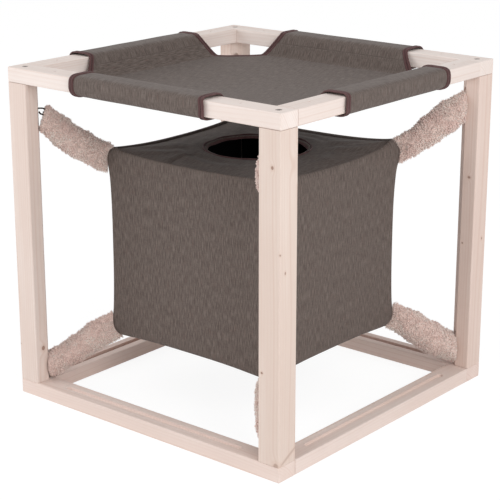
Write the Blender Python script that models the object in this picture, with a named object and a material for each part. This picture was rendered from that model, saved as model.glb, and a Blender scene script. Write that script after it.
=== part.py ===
"""Cat hammock: a cube of whitewashed timbers with a fabric hammock sewn round its top rails
and a fabric cave hung inside it on eight plush straps.

Metres, +Z up. The origin is the centre of the footprint on the floor. X runs along the front
and back rails, the front is -Y, and the cave and the hammock are centred on the Z axis.
"""

import math

import bmesh
import bpy
import numpy as np
from mathutils import Matrix, Vector

# Frame
FRAME_WIDTH = 0.500
FRAME_DEPTH = 0.500
FRAME_HEIGHT = 0.500
TIMBER_WIDTH = 0.0355
RAIL_THICKNESS = 0.022
POST_CHAMFER = 0.0135
TIMBER_ROUNDING = 0.0015
GROOVE_WIDTH = 0.010
GROOVE_DEPTH = 0.004
GROOVE_MARGIN = 0.080
MARK_HOLE_DIAMETER = 0.0045
MARK_HOLE_DEPTH = 0.006
FIT_GAP = 0.0003

# Frame joints
TENON_LENGTH = 0.012
TENON_WIDTH = 0.020
TENON_THICKNESS = 0.008
SCREW_LENGTH = 0.038
SCREW_SHANK_DIAMETER = 0.005
SCREW_HEAD_DIAMETER = 0.0095
SCREW_HEAD_HEIGHT = 0.0042
SCREW_SINK = 0.0008
SCREW_POINT_LENGTH = 0.010
SCREW_SOCKET_WIDTH = 0.0046
SCREW_SOCKET_DEPTH = 0.0026

# Screw hooks in slots on the posts' chamfers
UPPER_HOOK_DROP = 0.066
LOWER_HOOK_RISE = 0.052
HOOK_SLOT_WIDTH = 0.008
HOOK_SLOT_LENGTH = 0.050
HOOK_SLOT_DEPTH = 0.005
HOOK_DIAMETER = 0.0115
HOOK_WIRE = 0.0025
HOOK_COLLAR_DIAMETER = 0.0066
HOOK_COLLAR_THICKNESS = 0.0012
HOOK_SCREW_DIAMETER = 0.0032
HOOK_SCREW_LENGTH = 0.016
HOOK_POINT_LENGTH = 0.006
HOOK_SWEEP = 265

# Plush straps with a loop of cord
CORD_DIAMETER = 0.002
CORD_SEAM = 0.009
PLUSH_DIAMETER = 0.037
PLUSH_CLEARANCE = 0.0033
PLUSH_DROOP = 0.005
PLUSH_UPRIGHT = 0.6
PLUSH_NOSE_SHARE = 0.55
PLUSH_NOSE_LENGTH = 0.005
PLUSH_STATIONS = 7
PLUSH_FLATTENING = 0.75
PLUSH_RIPPLE = 0.0009
PLUSH_RIPPLE_LENGTH = 0.026
PLUSH_OVERLAP = 0.030
STRAP_GAP = 0.0006

# Cave
CAVE_WIDTH = 0.297
CAVE_DEPTH = 0.297
CAVE_BOTTOM = 0.086
CAVE_HEIGHT = 0.294
CAVE_CORNER_RADIUS = 0.009
CAVE_FABRIC = 0.004
UPPER_STRAP_SEAT = 0.019
LOWER_STRAP_SEAT = 0.017
UPPER_PULL = 0.006
LOWER_PULL = 0.003
PULL_SPREAD = 0.040
TOP_SAG = 0.007
BOTTOM_RISE = 0.006
MOUTH_DIAMETER = 0.148
MOUTH_RISE = 0.002
BINDING_WIDTH = 0.006
BINDING_FABRIC = 0.0012
FLOOR_BOARD_THICKNESS = 0.003
FLOOR_BOARD_CLEARANCE = 0.003
CUSHION_HEIGHT = 0.032
CUSHION_CROWN = 0.010
CUSHION_DRAW_IN = 0.004
CUSHION_CLEARANCE = 0.004
CUSHION_SIDE = ((0.0, 0.006), (0.28, 0.001), (0.62, 0.0), (1.0, 0.005))
CUSHION_RINGS = (0.86, 0.6, 0.3)

# Hammock
SLEEVE_MARGIN = 0.128
SLEEVE_SLANT = 0.004
SLEEVE_SLACK = 0.0005
SLEEVE_FABRIC = 0.003
HEM_WIDTH = 0.009
HEM_THICKENING = 0.0005
STITCH_DROP = 0.013
BED_DROP = 0.0325
BED_INSET = 0.022
BED_SAG = 0.010
BED_FABRIC = 0.002
HEM_FABRIC = 0.0026
HEM_SECTION = ((0.0, 0.45), (0.18, 1.0), (1.0, 1.0))

# Facets
ROUND_STEPS = 12
HOOK_SIDES = 6
PLUSH_SIDES = 10
SIDE_STEPS = 6
CORNER_STEPS = 2
MOUTH_STEPS = 4 * (SIDE_STEPS + 2 * CORNER_STEPS)
WALL_ROWS = (0.0, 0.07, 0.2, 0.4, 0.62, 0.8, 0.92, 1.0)
FLOOR_RING = 0.8
BED_RINGS = (0.2, 0.45, 0.7, 0.88, 1.0)
BED_SIDE_STEPS = 4
BED_CORNER_STEPS = 3
HEM_STEPS = 5
FLAP_TURNS = np.radians(np.linspace(0, 90, 5))

# Places that follow from the sizes above
HALF_X = FRAME_WIDTH / 2
HALF_Y = FRAME_DEPTH / 2
INNER_X = HALF_X - TIMBER_WIDTH
INNER_Y = HALF_Y - TIMBER_WIDTH
POST_X = HALF_X - TIMBER_WIDTH / 2
POST_Y = HALF_Y - TIMBER_WIDTH / 2
TOP_RAIL_UNDERSIDE = FRAME_HEIGHT - RAIL_THICKNESS
RAIL_CENTRE_DROP = RAIL_THICKNESS / 2
UPPER_HOOK_Z = FRAME_HEIGHT - UPPER_HOOK_DROP
LOWER_HOOK_Z = LOWER_HOOK_RISE
HOOK_BEND_RADIUS = (HOOK_DIAMETER - HOOK_WIRE) / 2
HOOK_STANDOFF = HOOK_DIAMETER / 2 + FIT_GAP
PLUSH_START = HOOK_DIAMETER / 2 + PLUSH_CLEARANCE
CAVE_TOP = CAVE_BOTTOM + CAVE_HEIGHT
UPPER_SEAT_Z = CAVE_TOP - UPPER_STRAP_SEAT
LOWER_SEAT_Z = CAVE_BOTTOM + LOWER_STRAP_SEAT
CAVE_FLOOR_Z = CAVE_BOTTOM + BOTTOM_RISE + CAVE_FABRIC
MOUTH_Z = CAVE_TOP - TOP_SAG + MOUTH_RISE
STITCH_Z = FRAME_HEIGHT - STITCH_DROP
BED_Z = FRAME_HEIGHT - BED_DROP
SLEEVE_FACE = SLEEVE_SLACK + SLEEVE_FABRIC
FLAP_TOP_INSET = SLEEVE_FACE + HEM_THICKENING + FIT_GAP + HEM_FABRIC / 2
HEM_RUN = math.sqrt(2) * (HEM_WIDTH + FIT_GAP)
SIDES = ("front", "right", "back", "left")
CORNERS = {"back_right": (1, 1), "back_left": (-1, 1), "front_left": (-1, -1), "front_right": (1, -1)}

UP = Vector((0, 0, 1))


# Forms: a form is a list of corners and a list of faces

def axes(origin, x_axis, y_axis, z_axis):
    """The matrix that puts local axes at an origin."""
    matrix = Matrix.Identity(4)
    for column, axis in enumerate((x_axis, y_axis, z_axis, origin)):
        for row in range(3):
            matrix[row][column] = axis[row]
    return matrix


def placed(form, matrix):
    """A copy of a form moved by a matrix."""
    corners, faces = form
    return [tuple(matrix @ Vector(corner)) for corner in corners], faces


def joined(forms):
    """Several forms as one list of corners and faces, still separate bodies."""
    corners, faces = [], []
    for form_corners, form_faces in forms:
        start = len(corners)
        corners += [tuple(corner) for corner in form_corners]
        faces += [tuple(start + index for index in face) for face in form_faces]
    return corners, faces


def prism(outline, start, end):
    """A flat outline carried along local Z from start to end."""
    count = len(outline)
    corners = [(x, y, start) for x, y in outline] + [(x, y, end) for x, y in outline]
    faces = [tuple(reversed(range(count))), tuple(range(count, 2 * count))]
    for i in range(count):
        j = (i + 1) % count
        faces.append((i, j, j + count, i + count))
    return corners, faces


def skin(rows, first=None, last=None):
    """Closed rings of corners joined row to row. Each end is closed by a fan to the point
    given for it; without end points the last row joins the first."""
    rows = np.asarray(rows, dtype=float)
    row_count, ring_count, _ = rows.shape
    corners = [tuple(corner) for corner in rows.reshape(-1, 3)]
    faces = []
    ring_pairs = row_count if first is None else row_count - 1
    for row in range(ring_pairs):
        below = row * ring_count
        above = (row + 1) % row_count * ring_count
        for i in range(ring_count):
            j = (i + 1) % ring_count
            faces.append((below + i, below + j, above + j, above + i))
    if first is not None:
        for row, point in ((0, first), (row_count - 1, last)):
            centre = len(corners)
            corners.append(tuple(point))
            start = row * ring_count
            for i in range(ring_count):
                j = (i + 1) % ring_count
                face = (start + i, start + j, centre)
                faces.append(face[::-1] if row == 0 else face)
    return corners, faces


def plate(upper, lower):
    """Two grids of corners, one on each side of a sheet, joined round their border."""
    upper = np.asarray(upper, dtype=float)
    lower = np.asarray(lower, dtype=float)
    rows, columns, _ = upper.shape
    side = rows * columns
    corners = [tuple(corner) for corner in np.concatenate((upper, lower)).reshape(-1, 3)]
    faces = []
    for i in range(rows - 1):
        for j in range(columns - 1):
            a, b = i * columns + j, i * columns + j + 1
            c, d = a + columns, b + columns
            faces.append((a, b, d, c))
            faces.append((side + a, side + c, side + d, side + b))
    border = [j for j in range(columns)]
    border += [i * columns + columns - 1 for i in range(1, rows)]
    border += [(rows - 1) * columns + j for j in range(columns - 2, -1, -1)]
    border += [i * columns for i in range(rows - 2, 0, -1)]
    for a, b in zip(border, border[1:] + border[:1]):
        faces.append((a, side + a, side + b, b))
    return corners, faces


def turned(profile, steps, hexagon_rows=()):
    """A profile of (radius, height) turned round local Z, closed by fans on the axis. The rows
    named are made six-sided, which takes a number of steps that six divides."""
    angles = np.arange(steps) * 2 * math.pi / steps
    flat = math.cos(math.pi / 6) / np.cos((angles % (math.pi / 3)) - math.pi / 6)
    rows = []
    for index, (radius, height) in enumerate(profile[1:-1], start=1):
        reach = radius * (flat if index in hexagon_rows else np.ones(steps))
        rows.append(np.stack((reach * np.cos(angles), reach * np.sin(angles),
                              np.full(steps, height)), axis=1))
    return skin(rows, first=(0, 0, profile[0][1]), last=(0, 0, profile[-1][1]))


def turned_ring(profile, steps):
    """A closed profile of (radius, height) turned round local Z without meeting it."""
    angles = np.arange(steps) * 2 * math.pi / steps
    rows = [np.stack((radius * np.cos(angles), radius * np.sin(angles),
                      np.full(steps, height)), axis=1) for radius, height in profile]
    return skin(rows)


def peg(radius, start, end, steps=ROUND_STEPS):
    """A plain round peg along local Z."""
    return turned([(0, start), (radius, start), (radius, end), (0, end)], steps)


def tube(path, radii, sides):
    """A round tube along a path, with a radius for each point and frames carried along it
    without twist."""
    path = [Vector(point) for point in path]
    rows = []
    across = None
    for index, (point, radius) in enumerate(zip(path, radii)):
        before, after = path[max(index - 1, 0)], path[min(index + 1, len(path) - 1)]
        along = (after - before).normalized()
        if across is None:
            across = along.orthogonal().normalized()
        across = (across - along * across.dot(along)).normalized()
        beside = along.cross(across)
        rows.append([tuple(point + radius * (math.cos(angle) * across + math.sin(angle) * beside))
                     for angle in (np.arange(sides) * 2 * math.pi / sides).tolist()])
    return skin(rows, first=path[0], last=path[-1])


def arc(centre, radius, start, end, steps):
    """Points on an arc, angles in degrees, both ends included."""
    angles = np.radians(np.linspace(start, end, steps + 1))
    return [(centre[0] + radius * math.cos(a), centre[1] + radius * math.sin(a)) for a in angles]


def rounded_rectangle(half_x, half_y, radius, steps=2):
    """A rectangle with round corners, counter-clockwise."""
    outline = []
    for sign_x, sign_y, start in ((1, -1, -90), (1, 1, 0), (-1, 1, 90), (-1, -1, 180)):
        centre = (sign_x * (half_x - radius), sign_y * (half_y - radius))
        outline += arc(centre, radius, start, start + 90, steps)
    return outline


def slot_outline(length, width, steps=5):
    """A slot with round ends, long in local X."""
    reach = (length - width) / 2
    return (arc((reach, 0), width / 2, -90, 90, steps)
            + arc((-reach, 0), width / 2, 90, 270, steps))


# Objects, materials and cuts

def material(name, colour, roughness, metallic=0.0):
    """A Principled material, its colour given as linear red, green and blue."""
    made = bpy.data.materials.get(name)
    if made is None:
        made = bpy.data.materials.new(name)
        made.use_nodes = True
        shader = made.node_tree.nodes["Principled BSDF"]
        shader.inputs["Base Color"].default_value = (*colour, 1.0)
        shader.inputs["Roughness"].default_value = roughness
        shader.inputs["Metallic"].default_value = metallic
        made.diffuse_color = (*colour, 1.0)
    return made


def whitewashed_pine():
    return material("whitewashed_pine", (0.76, 0.66, 0.58), 0.62)


def black_steel():
    return material("black_steel", (0.035, 0.033, 0.032), 0.42, 1.0)


def heather_fabric():
    return material("heather_fabric", (0.135, 0.112, 0.100), 0.9)


def dark_binding():
    return material("dark_binding", (0.070, 0.036, 0.036), 0.85)


def plush():
    return material("plush", (0.50, 0.38, 0.33), 0.95)


def hardboard():
    return material("hardboard", (0.23, 0.13, 0.07), 0.7)


def mesh_of(name, form, finish, smooth_angle=35):
    """A mesh made from a form, with its faces turned outward."""
    corners, faces = form
    mesh = bpy.data.meshes.new(name)
    mesh.from_pydata([tuple(map(float, corner)) for corner in corners], [], faces)
    work = bmesh.new()
    work.from_mesh(mesh)
    bmesh.ops.recalc_face_normals(work, faces=work.faces)
    work.to_mesh(mesh)
    work.free()
    mesh.materials.append(finish)
    mesh.shade_smooth()
    mesh.set_sharp_from_angle(angle=math.radians(smooth_angle))
    return mesh


def put(name, mesh, place=None, parent=None):
    """An object with its origin at a place, carried by a parent empty if it moves."""
    made = bpy.data.objects.new(name, mesh)
    bpy.context.scene.collection.objects.link(made)
    made.parent = parent
    if place is not None:
        made.matrix_world = place
    return made


def guide(name, form, place=None):
    """A body that only cuts another, or is joined to it."""
    made = put(name, mesh_of(name, form, black_steel()), place)
    made.hide_render = True
    made.display_type = "WIRE"
    return made


def combine(target, other, operation):
    """Cuts an object by a guide, or joins the guide to it."""
    modifier = target.modifiers.new(operation.lower(), "BOOLEAN")
    modifier.operation = operation
    modifier.solver = "EXACT"
    modifier.object = other


def carrier(name):
    """An empty on the axis that a moving piece slides along."""
    empty = bpy.data.objects.new(name, None)
    bpy.context.scene.collection.objects.link(empty)
    return empty


# Frame

def rail_place(side, top):
    """A rail's frame: local X along it, local Y towards the cube's middle, local Z out of the
    cube. The bottom rails are top rails turned over."""
    out = HALF_Y - TIMBER_WIDTH / 2 if side % 2 == 0 else HALF_X - TIMBER_WIDTH / 2
    height = FRAME_HEIGHT - RAIL_CENTRE_DROP if top else RAIL_CENTRE_DROP
    around = Matrix.Rotation(side * math.pi / 2, 4, "Z")
    over = Matrix.Rotation(0 if top else math.pi, 4, "Y")
    return around @ Matrix.Translation((0, -out, height)) @ over


def screw_place(sign_x, sign_y, top):
    """A corner screw's frame: its head at the outer face, local -Z into the post."""
    height = FRAME_HEIGHT if top else 0.0
    over = Matrix.Rotation(0 if top else math.pi, 4, "X")
    return Matrix.Translation((sign_x * POST_X, sign_y * POST_Y, height)) @ over


def screw_form():
    """A countersunk screw with a hexagon socket, its head's top sunk below local Z = 0."""
    head, shank, socket = SCREW_HEAD_DIAMETER / 2, SCREW_SHANK_DIAMETER / 2, SCREW_SOCKET_WIDTH / 2
    top, tip = -SCREW_SINK, -SCREW_SINK - SCREW_LENGTH
    return turned([(0, top - SCREW_SOCKET_DEPTH), (socket, top - SCREW_SOCKET_DEPTH), (socket, top),
                   (head, top), (shank, top - SCREW_HEAD_HEIGHT),
                   (shank, tip + SCREW_POINT_LENGTH), (0, tip)], ROUND_STEPS, hexagon_rows=(1, 2))


def screw_hole():
    """The countersink, clearance hole and pilot hole for one corner screw."""
    head, shank = SCREW_HEAD_DIAMETER / 2 + FIT_GAP, SCREW_SHANK_DIAMETER / 2 + FIT_GAP
    cone_end = -SCREW_SINK - SCREW_HEAD_HEIGHT - FIT_GAP
    bottom = -SCREW_SINK - SCREW_LENGTH - FIT_GAP
    return turned([(0, SCREW_SINK), (head, SCREW_SINK), (head, -SCREW_SINK - FIT_GAP),
                   (shank, cone_end), (shank, bottom), (0, bottom)], ROUND_STEPS)


def groove_and_marks(length):
    """The cutters for a rail's groove, in its lower face, and for the two small holes in its
    upper face at the groove's ends."""
    groove_length = length - 2 * GROOVE_MARGIN
    lower, upper = -RAIL_THICKNESS / 2, RAIL_THICKNESS / 2
    forms = [prism(slot_outline(groove_length, GROOVE_WIDTH), lower - GROOVE_DEPTH, lower + GROOVE_DEPTH)]
    for side in (-1, 1):
        hole = peg(MARK_HOLE_DIAMETER / 2, upper - MARK_HOLE_DEPTH, upper + MARK_HOLE_DEPTH, 8)
        forms.append(placed(hole, Matrix.Translation((side * groove_length / 2, 0, 0))))
    return forms


def tenon(length, growth):
    """A bar along local X with a tenon's section, grown by a clearance on each side."""
    outline = rounded_rectangle(TENON_WIDTH / 2 + growth, TENON_THICKNESS / 2 + growth, TIMBER_ROUNDING)
    return placed(prism(outline, -length / 2, length / 2), axes((0, 0, 0), (0, 1, 0), UP, (1, 0, 0)))


def eased_bar(length):
    """A timber along local X with rounded long edges and eased ends."""
    rows = []
    for end, ease in ((-1, TIMBER_ROUNDING / 2), (-1, 0.0), (1, 0.0), (1, TIMBER_ROUNDING / 2)):
        outline = rounded_rectangle(TIMBER_WIDTH / 2 - ease, RAIL_THICKNESS / 2 - ease,
                                    TIMBER_ROUNDING - ease)
        reach = end * (length / 2 - (TIMBER_ROUNDING / 2 - ease))
        rows.append([(reach, y, z) for y, z in outline])
    return skin(rows, first=(-length / 2, 0, 0), last=(length / 2, 0, 0))


def long_rail_mesh():
    return mesh_of("long_rail", eased_bar(FRAME_WIDTH), whitewashed_pine())


def make_long_rail(side, top, mesh):
    """A front or back rail, as long as the frame is wide, with holes for the screws and
    mortises for the short rails' tenons."""
    name = ("top" if top else "bottom") + "_rail_" + SIDES[side]
    place = rail_place(side, top)
    rail = put(name, mesh, place)
    cuts = groove_and_marks(FRAME_WIDTH)
    reach = 2 * (TENON_LENGTH + FIT_GAP)
    turned_across = Matrix.Rotation(math.pi / 2, 4, "Z")
    for end in (-1, 1):
        cuts.append(placed(screw_hole(), Matrix.Translation((end * POST_X, 0, RAIL_THICKNESS / 2))))
        mortise = Matrix.Translation((end * POST_X, TIMBER_WIDTH / 2, 0)) @ turned_across
        cuts.append(placed(tenon(reach, FIT_GAP), mortise))
    combine(rail, guide(name + "_cutter", joined(cuts), place), "DIFFERENCE")


def make_short_rail(side, top):
    """A left or right rail, between the front and back rails, with a tenon at each end."""
    name = ("top" if top else "bottom") + "_rail_" + SIDES[side]
    place = rail_place(side, top)
    outline = rounded_rectangle(TIMBER_WIDTH / 2, RAIL_THICKNESS / 2, TIMBER_ROUNDING)
    reach = INNER_Y - FIT_GAP
    bar = placed(prism(outline, -reach, reach), axes((0, 0, 0), (0, 1, 0), UP, (1, 0, 0)))
    rail = put(name, mesh_of(name, bar, whitewashed_pine()), place)
    tenons = tenon(2 * (INNER_Y + TENON_LENGTH), 0.0)
    combine(rail, guide(name + "_tenons", tenons, place), "UNION")
    cuts = joined(groove_and_marks(FRAME_DEPTH))
    combine(rail, guide(name + "_cutter", cuts, place), "DIFFERENCE")


def hook_place(sign_x, sign_y, upper):
    """A screw hook's frame: origin on the chamfer's middle, local X towards the cave, local Z
    up for the upper hooks and down for the lower ones."""
    height = UPPER_HOOK_Z if upper else LOWER_HOOK_Z
    origin = Vector((sign_x * (INNER_X + POST_CHAMFER / 2), sign_y * (INNER_Y + POST_CHAMFER / 2), height))
    towards = Vector((-sign_x, -sign_y, 0)).normalized()
    upright = UP if upper else -UP
    return axes(origin, towards, upright.cross(towards), upright)


def make_post(index, corner):
    """A square post with one wide chamfer, slotted and drilled for two screw hooks."""
    sign_x, sign_y = CORNERS[corner]
    half = TIMBER_WIDTH / 2
    outline = []
    for side_x, side_y, start in ((1, -1, -90), (1, 1, 0), (-1, 1, 90)):
        centre = (side_x * (half - TIMBER_ROUNDING), side_y * (half - TIMBER_ROUNDING))
        outline += arc(centre, TIMBER_ROUNDING, start, start + 90, 2)
    outline += [(-half, -half + POST_CHAMFER), (-half + POST_CHAMFER, -half)]
    place = Matrix.Translation((sign_x * POST_X, sign_y * POST_Y, 0))
    place = place @ Matrix.Rotation(index * math.pi / 2, 4, "Z")
    name = "post_" + corner
    bar = prism(outline, RAIL_THICKNESS + FIT_GAP, TOP_RAIL_UNDERSIDE - FIT_GAP)
    post = put(name, mesh_of(name, bar, whitewashed_pine()), place)
    lie_down = Matrix.Rotation(math.pi / 2, 4, "Y")
    slot = placed(prism(slot_outline(HOOK_SLOT_LENGTH, HOOK_SLOT_WIDTH), -HOOK_SLOT_DEPTH,
                        HOOK_SLOT_DEPTH), lie_down)
    bore = peg(HOOK_SCREW_DIAMETER / 2 + FIT_GAP, -HOOK_SLOT_DEPTH - HOOK_SCREW_LENGTH - FIT_GAP,
               -HOOK_SLOT_DEPTH / 2, 8)
    bore = placed(bore, Matrix.Translation((0, 0, HOOK_BEND_RADIUS)) @ lie_down)
    drilled = [placed(screw_hole(), screw_place(sign_x, sign_y, top)) for top in (True, False)]
    drilled += [placed(bore, hook_place(sign_x, sign_y, upper)) for upper in (True, False)]
    slots = [placed(slot, hook_place(sign_x, sign_y, upper)) for upper in (True, False)]
    combine(post, guide(name + "_drill", joined(drilled)), "DIFFERENCE")
    combine(post, guide(name + "_slots", joined(slots)), "DIFFERENCE")


def make_frame():
    long_mesh = long_rail_mesh()
    screw_mesh = mesh_of("corner_screw", screw_form(), black_steel())
    for top, level in ((True, "top"), (False, "bottom")):
        for side in (0, 2):
            make_long_rail(side, top, long_mesh)
            make_short_rail(side + 1, top)
        for corner, (sign_x, sign_y) in CORNERS.items():
            put(level + "_screw_" + corner, screw_mesh, screw_place(sign_x, sign_y, top))
    for index, corner in enumerate(CORNERS):
        make_post(index, corner)


# Screw hooks and plush straps

def screw_hook_form():
    """A screw hook of round wire: point, screw, collar on the slot's bottom, and a bend that
    comes back round almost to the collar."""
    wire, screw = HOOK_WIRE / 2, HOOK_SCREW_DIAMETER / 2
    seat = -HOOK_SLOT_DEPTH + FIT_GAP
    collar = HOOK_COLLAR_DIAMETER / 2
    tip = -HOOK_SLOT_DEPTH - HOOK_SCREW_LENGTH
    profile = [(tip, wire / 3), (tip + HOOK_POINT_LENGTH, screw), (seat, screw), (seat, collar),
               (seat + HOOK_COLLAR_THICKNESS, collar), (seat + HOOK_COLLAR_THICKNESS, wire)]
    path = [(along, 0, HOOK_BEND_RADIUS) for along, _ in profile]
    bend = arc((HOOK_STANDOFF, 0), HOOK_BEND_RADIUS, 90, 90 - HOOK_SWEEP, 10)
    path += [(x, 0, z) for x, z in bend]
    radii = [radius for _, radius in profile] + [wire] * len(bend)
    return tube(path, radii, HOOK_SIDES)


def strap_line(sign_x, sign_y, upper):
    """Where a strap starts, in the middle of its screw hook, and where it meets the cave."""
    start = hook_place(sign_x, sign_y, upper) @ Vector((HOOK_STANDOFF, 0, 0))
    seat_z = UPPER_SEAT_Z if upper else LOWER_SEAT_Z
    round_off = CAVE_CORNER_RADIUS * (1 - math.sqrt(0.5))
    pull = corner_pull(seat_z)
    end = Vector((sign_x * (CAVE_WIDTH / 2 + pull - round_off),
                  sign_y * (CAVE_DEPTH / 2 + pull - round_off), seat_z))
    return start, end


def cord_form(place):
    """The loop of cord round the hook's bend, both of its legs sewn into the plush."""
    around = HOOK_WIRE / 2 + FIT_GAP + CORD_DIAMETER / 2
    end = PLUSH_START + CORD_SEAM
    path = [(end, around)] + arc((HOOK_BEND_RADIUS, 0), around, 90, 270, 6) + [(end, -around)]
    path = [place @ Vector((x, y, 0)) for x, y in path]
    return tube(path, [CORD_DIAMETER / 2] * len(path), HOOK_SIDES)


def plush_form(place, length):
    """A padded tube, gently rippled, with a rounded end at the post that hangs a little below
    the cord and stands nearer upright than the strap, narrowed where it meets the cave."""
    total = length + PLUSH_OVERLAP - PLUSH_START
    nose = PLUSH_NOSE_LENGTH
    stations = [0.0, nose / 3] + np.linspace(nose, total, PLUSH_STATIONS).tolist()
    across, above = place.col[1].to_3d(), place.col[2].to_3d()
    radius = PLUSH_DIAMETER / 2
    rows, centres = [], []
    for station in stations:
        left = max(0.0, 1 - station / (length - PLUSH_START))
        rise = math.sqrt(max(0.0, 1 - (1 - min(station / nose, 1)) ** 2))
        reach = radius * (PLUSH_NOSE_SHARE + (1 - PLUSH_NOSE_SHARE) * rise)
        reach += PLUSH_RIPPLE * math.cos(2 * math.pi * station / PLUSH_RIPPLE_LENGTH)
        wide = reach * (1 - (1 - PLUSH_FLATTENING) * (1 - left) ** 2)
        lean = PLUSH_UPRIGHT * left ** 2
        tall = reach * (above * (1 - lean) + UP * lean)
        centre = place @ Vector((PLUSH_START + station, 0, 0)) - above * PLUSH_DROOP * left ** 2
        angles = (np.arange(PLUSH_SIDES) * 2 * math.pi / PLUSH_SIDES).tolist()
        rows.append([tuple(centre + wide * math.cos(a) * across + math.sin(a) * tall) for a in angles])
        centres.append(tuple(centre))
    return skin(rows, first=centres[0], last=centres[-1])


def make_straps():
    hook_mesh = mesh_of("screw_hook", screw_hook_form(), black_steel())
    cave_guide = guide("cave_clearance", cave_outer_form(STRAP_GAP))
    for upper, level in ((True, "upper"), (False, "lower")):
        for corner, (sign_x, sign_y) in CORNERS.items():
            put("screw_hook_" + level + "_" + corner, hook_mesh, hook_place(sign_x, sign_y, upper))
            start, end = strap_line(sign_x, sign_y, upper)
            along = (end - start).normalized()
            across = UP.cross(along).normalized()
            place = axes(start, along, across, along.cross(across))
            name = "strap_" + level + "_" + corner
            form = plush_form(place, (end - start).length)
            strap = put(name, mesh_of(name, form, plush(), smooth_angle=60))
            combine(strap, guide(name + "_cord", cord_form(place)), "UNION")
            combine(strap, cave_guide, "DIFFERENCE")


# Cave

def corner_pull(height):
    """How far the straps pull the cave's corners outward at a height."""
    return (UPPER_PULL * math.exp(-((height - UPPER_SEAT_Z) / PULL_SPREAD) ** 2)
            + LOWER_PULL * math.exp(-((height - LOWER_SEAT_Z) / PULL_SPREAD) ** 2))


def cave_edge(corner_share, top):
    """The height of the cave's top or bottom edge: level at mid-side, drawn out at corners."""
    slack = 1 - corner_share ** 3
    return CAVE_TOP - TOP_SAG * slack if top else CAVE_BOTTOM + BOTTOM_RISE * slack


def cave_side(side, inset, height, seam_gap):
    """Plan points of one cave side at a height, from the middle of one corner to the middle of
    the next: an arc, a straight run whose ends are pulled outward, an arc. Each point comes
    with its nearness to a corner, from 0 to 1."""
    pull = corner_pull(height)
    half_along = (CAVE_WIDTH if side % 2 == 0 else CAVE_DEPTH) / 2
    half_out = (CAVE_DEPTH if side % 2 == 0 else CAVE_WIDTH) / 2
    radius = CAVE_CORNER_RADIUS - inset
    skew = seam_gap / 2 / (CAVE_CORNER_RADIUS - CAVE_FABRIC)
    turn = np.linspace(math.pi / 4 - skew, 0, CORNER_STEPS + 1)
    flat = np.linspace(-1, 1, SIDE_STEPS + 1)[1:-1]
    along = half_along + pull - CAVE_CORNER_RADIUS
    out = half_out + pull - CAVE_CORNER_RADIUS
    x = np.concatenate((-along - radius * np.sin(turn), along * flat,
                        along + radius * np.sin(turn[::-1])))
    y = np.concatenate((-out - radius * np.cos(turn),
                        -half_out - pull * np.abs(flat) ** 3 + inset,
                        -out - radius * np.cos(turn[::-1])))
    share = np.clip(np.abs(x) / along, 0, 1)
    angle = side * math.pi / 2
    turned_x = x * math.cos(angle) - y * math.sin(angle)
    turned_y = x * math.sin(angle) + y * math.cos(angle)
    return np.stack((turned_x, turned_y), axis=1), share


def cave_ring(inset, height):
    """The cave's whole outline at one height, without seam gaps, and each point's nearness
    to a corner."""
    sides = [cave_side(side, inset, height, 0.0) for side in range(4)]
    points = np.concatenate([points[:-1] for points, _ in sides])
    shares = np.concatenate([share[:-1] for _, share in sides])
    return points, shares


def with_height(points, heights):
    """Plan points as corners at one height or at a height each."""
    return np.concatenate((points, np.reshape(heights, (-1, 1)) * np.ones((len(points), 1))), axis=1)


def cave_outer_form(gap):
    """The cave's outer form grown by a gap and made taller, to cut what meets its corners."""
    low, high = CAVE_BOTTOM + CAVE_FABRIC + FIT_GAP, CAVE_TOP - CAVE_FABRIC - FIT_GAP
    levels = [(low + share * (high - low), CAVE_BOTTOM + share * CAVE_HEIGHT) for share in WALL_ROWS]
    tall = PLUSH_DIAMETER
    levels = [(CAVE_BOTTOM - tall, levels[0][1])] + levels + [(CAVE_TOP + tall, levels[-1][1])]
    rows = [with_height(cave_ring(-gap, shape)[0], height) for height, shape in levels]
    return skin(rows, first=(0, 0, levels[0][0]), last=(0, 0, levels[-1][0]))


def cave_wall_form(side):
    """One side panel: its outer and inner faces follow the same pulled outline."""
    faces = []
    for inset in (0.0, CAVE_FABRIC):
        rows = []
        for share_up in WALL_ROWS:
            height = CAVE_BOTTOM + share_up * CAVE_HEIGHT
            points, share = cave_side(side, inset, height, FIT_GAP)
            low = cave_edge(share, False) + CAVE_FABRIC + FIT_GAP
            high = cave_edge(share, True) - CAVE_FABRIC - FIT_GAP
            rows.append(with_height(points, low + share_up * (high - low)))
        faces.append(rows)
    return plate(faces[0], faces[1])


def edge_rows(top):
    """The four outermost rings of the top or floor panel: the ledge that a wall meets, the
    inner face's rim, the edge and the outer face's rim."""
    out_of = -1 if top else 1
    level = CAVE_TOP if top else CAVE_BOTTOM
    ledge = CAVE_FABRIC + 2 * FIT_GAP
    rows = []
    for inset, depth in ((ledge, CAVE_FABRIC), (0.0, CAVE_FABRIC), (0.0, CAVE_FABRIC / 2),
                         (CAVE_FABRIC / 2, 0.0)):
        points, share = cave_ring(inset, level)
        rows.append(with_height(points, cave_edge(share, top) + out_of * depth))
    return rows


def cave_top_form():
    """The top panel: drawn up at its corners, with a level round hole in its middle."""
    outer = edge_rows(True)
    rim = outer[3]
    angles = -3 * math.pi / 4 + np.arange(MOUTH_STEPS) * 2 * math.pi / MOUTH_STEPS
    hole = MOUTH_DIAMETER / 2 + BINDING_FABRIC + FIT_GAP
    level_zone = MOUTH_DIAMETER / 2 + BINDING_WIDTH + FIT_GAP

    circle = np.stack((np.cos(angles), np.sin(angles)), axis=1)
    down = np.array((0, 0, CAVE_FABRIC))
    edge = with_height(circle * hole, MOUTH_Z)
    flat_ring = with_height(circle * level_zone, MOUTH_Z)
    middle = (rim + flat_ring) / 2
    return skin(outer + [middle, flat_ring, edge, edge - down, flat_ring - down, middle - down])


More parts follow.
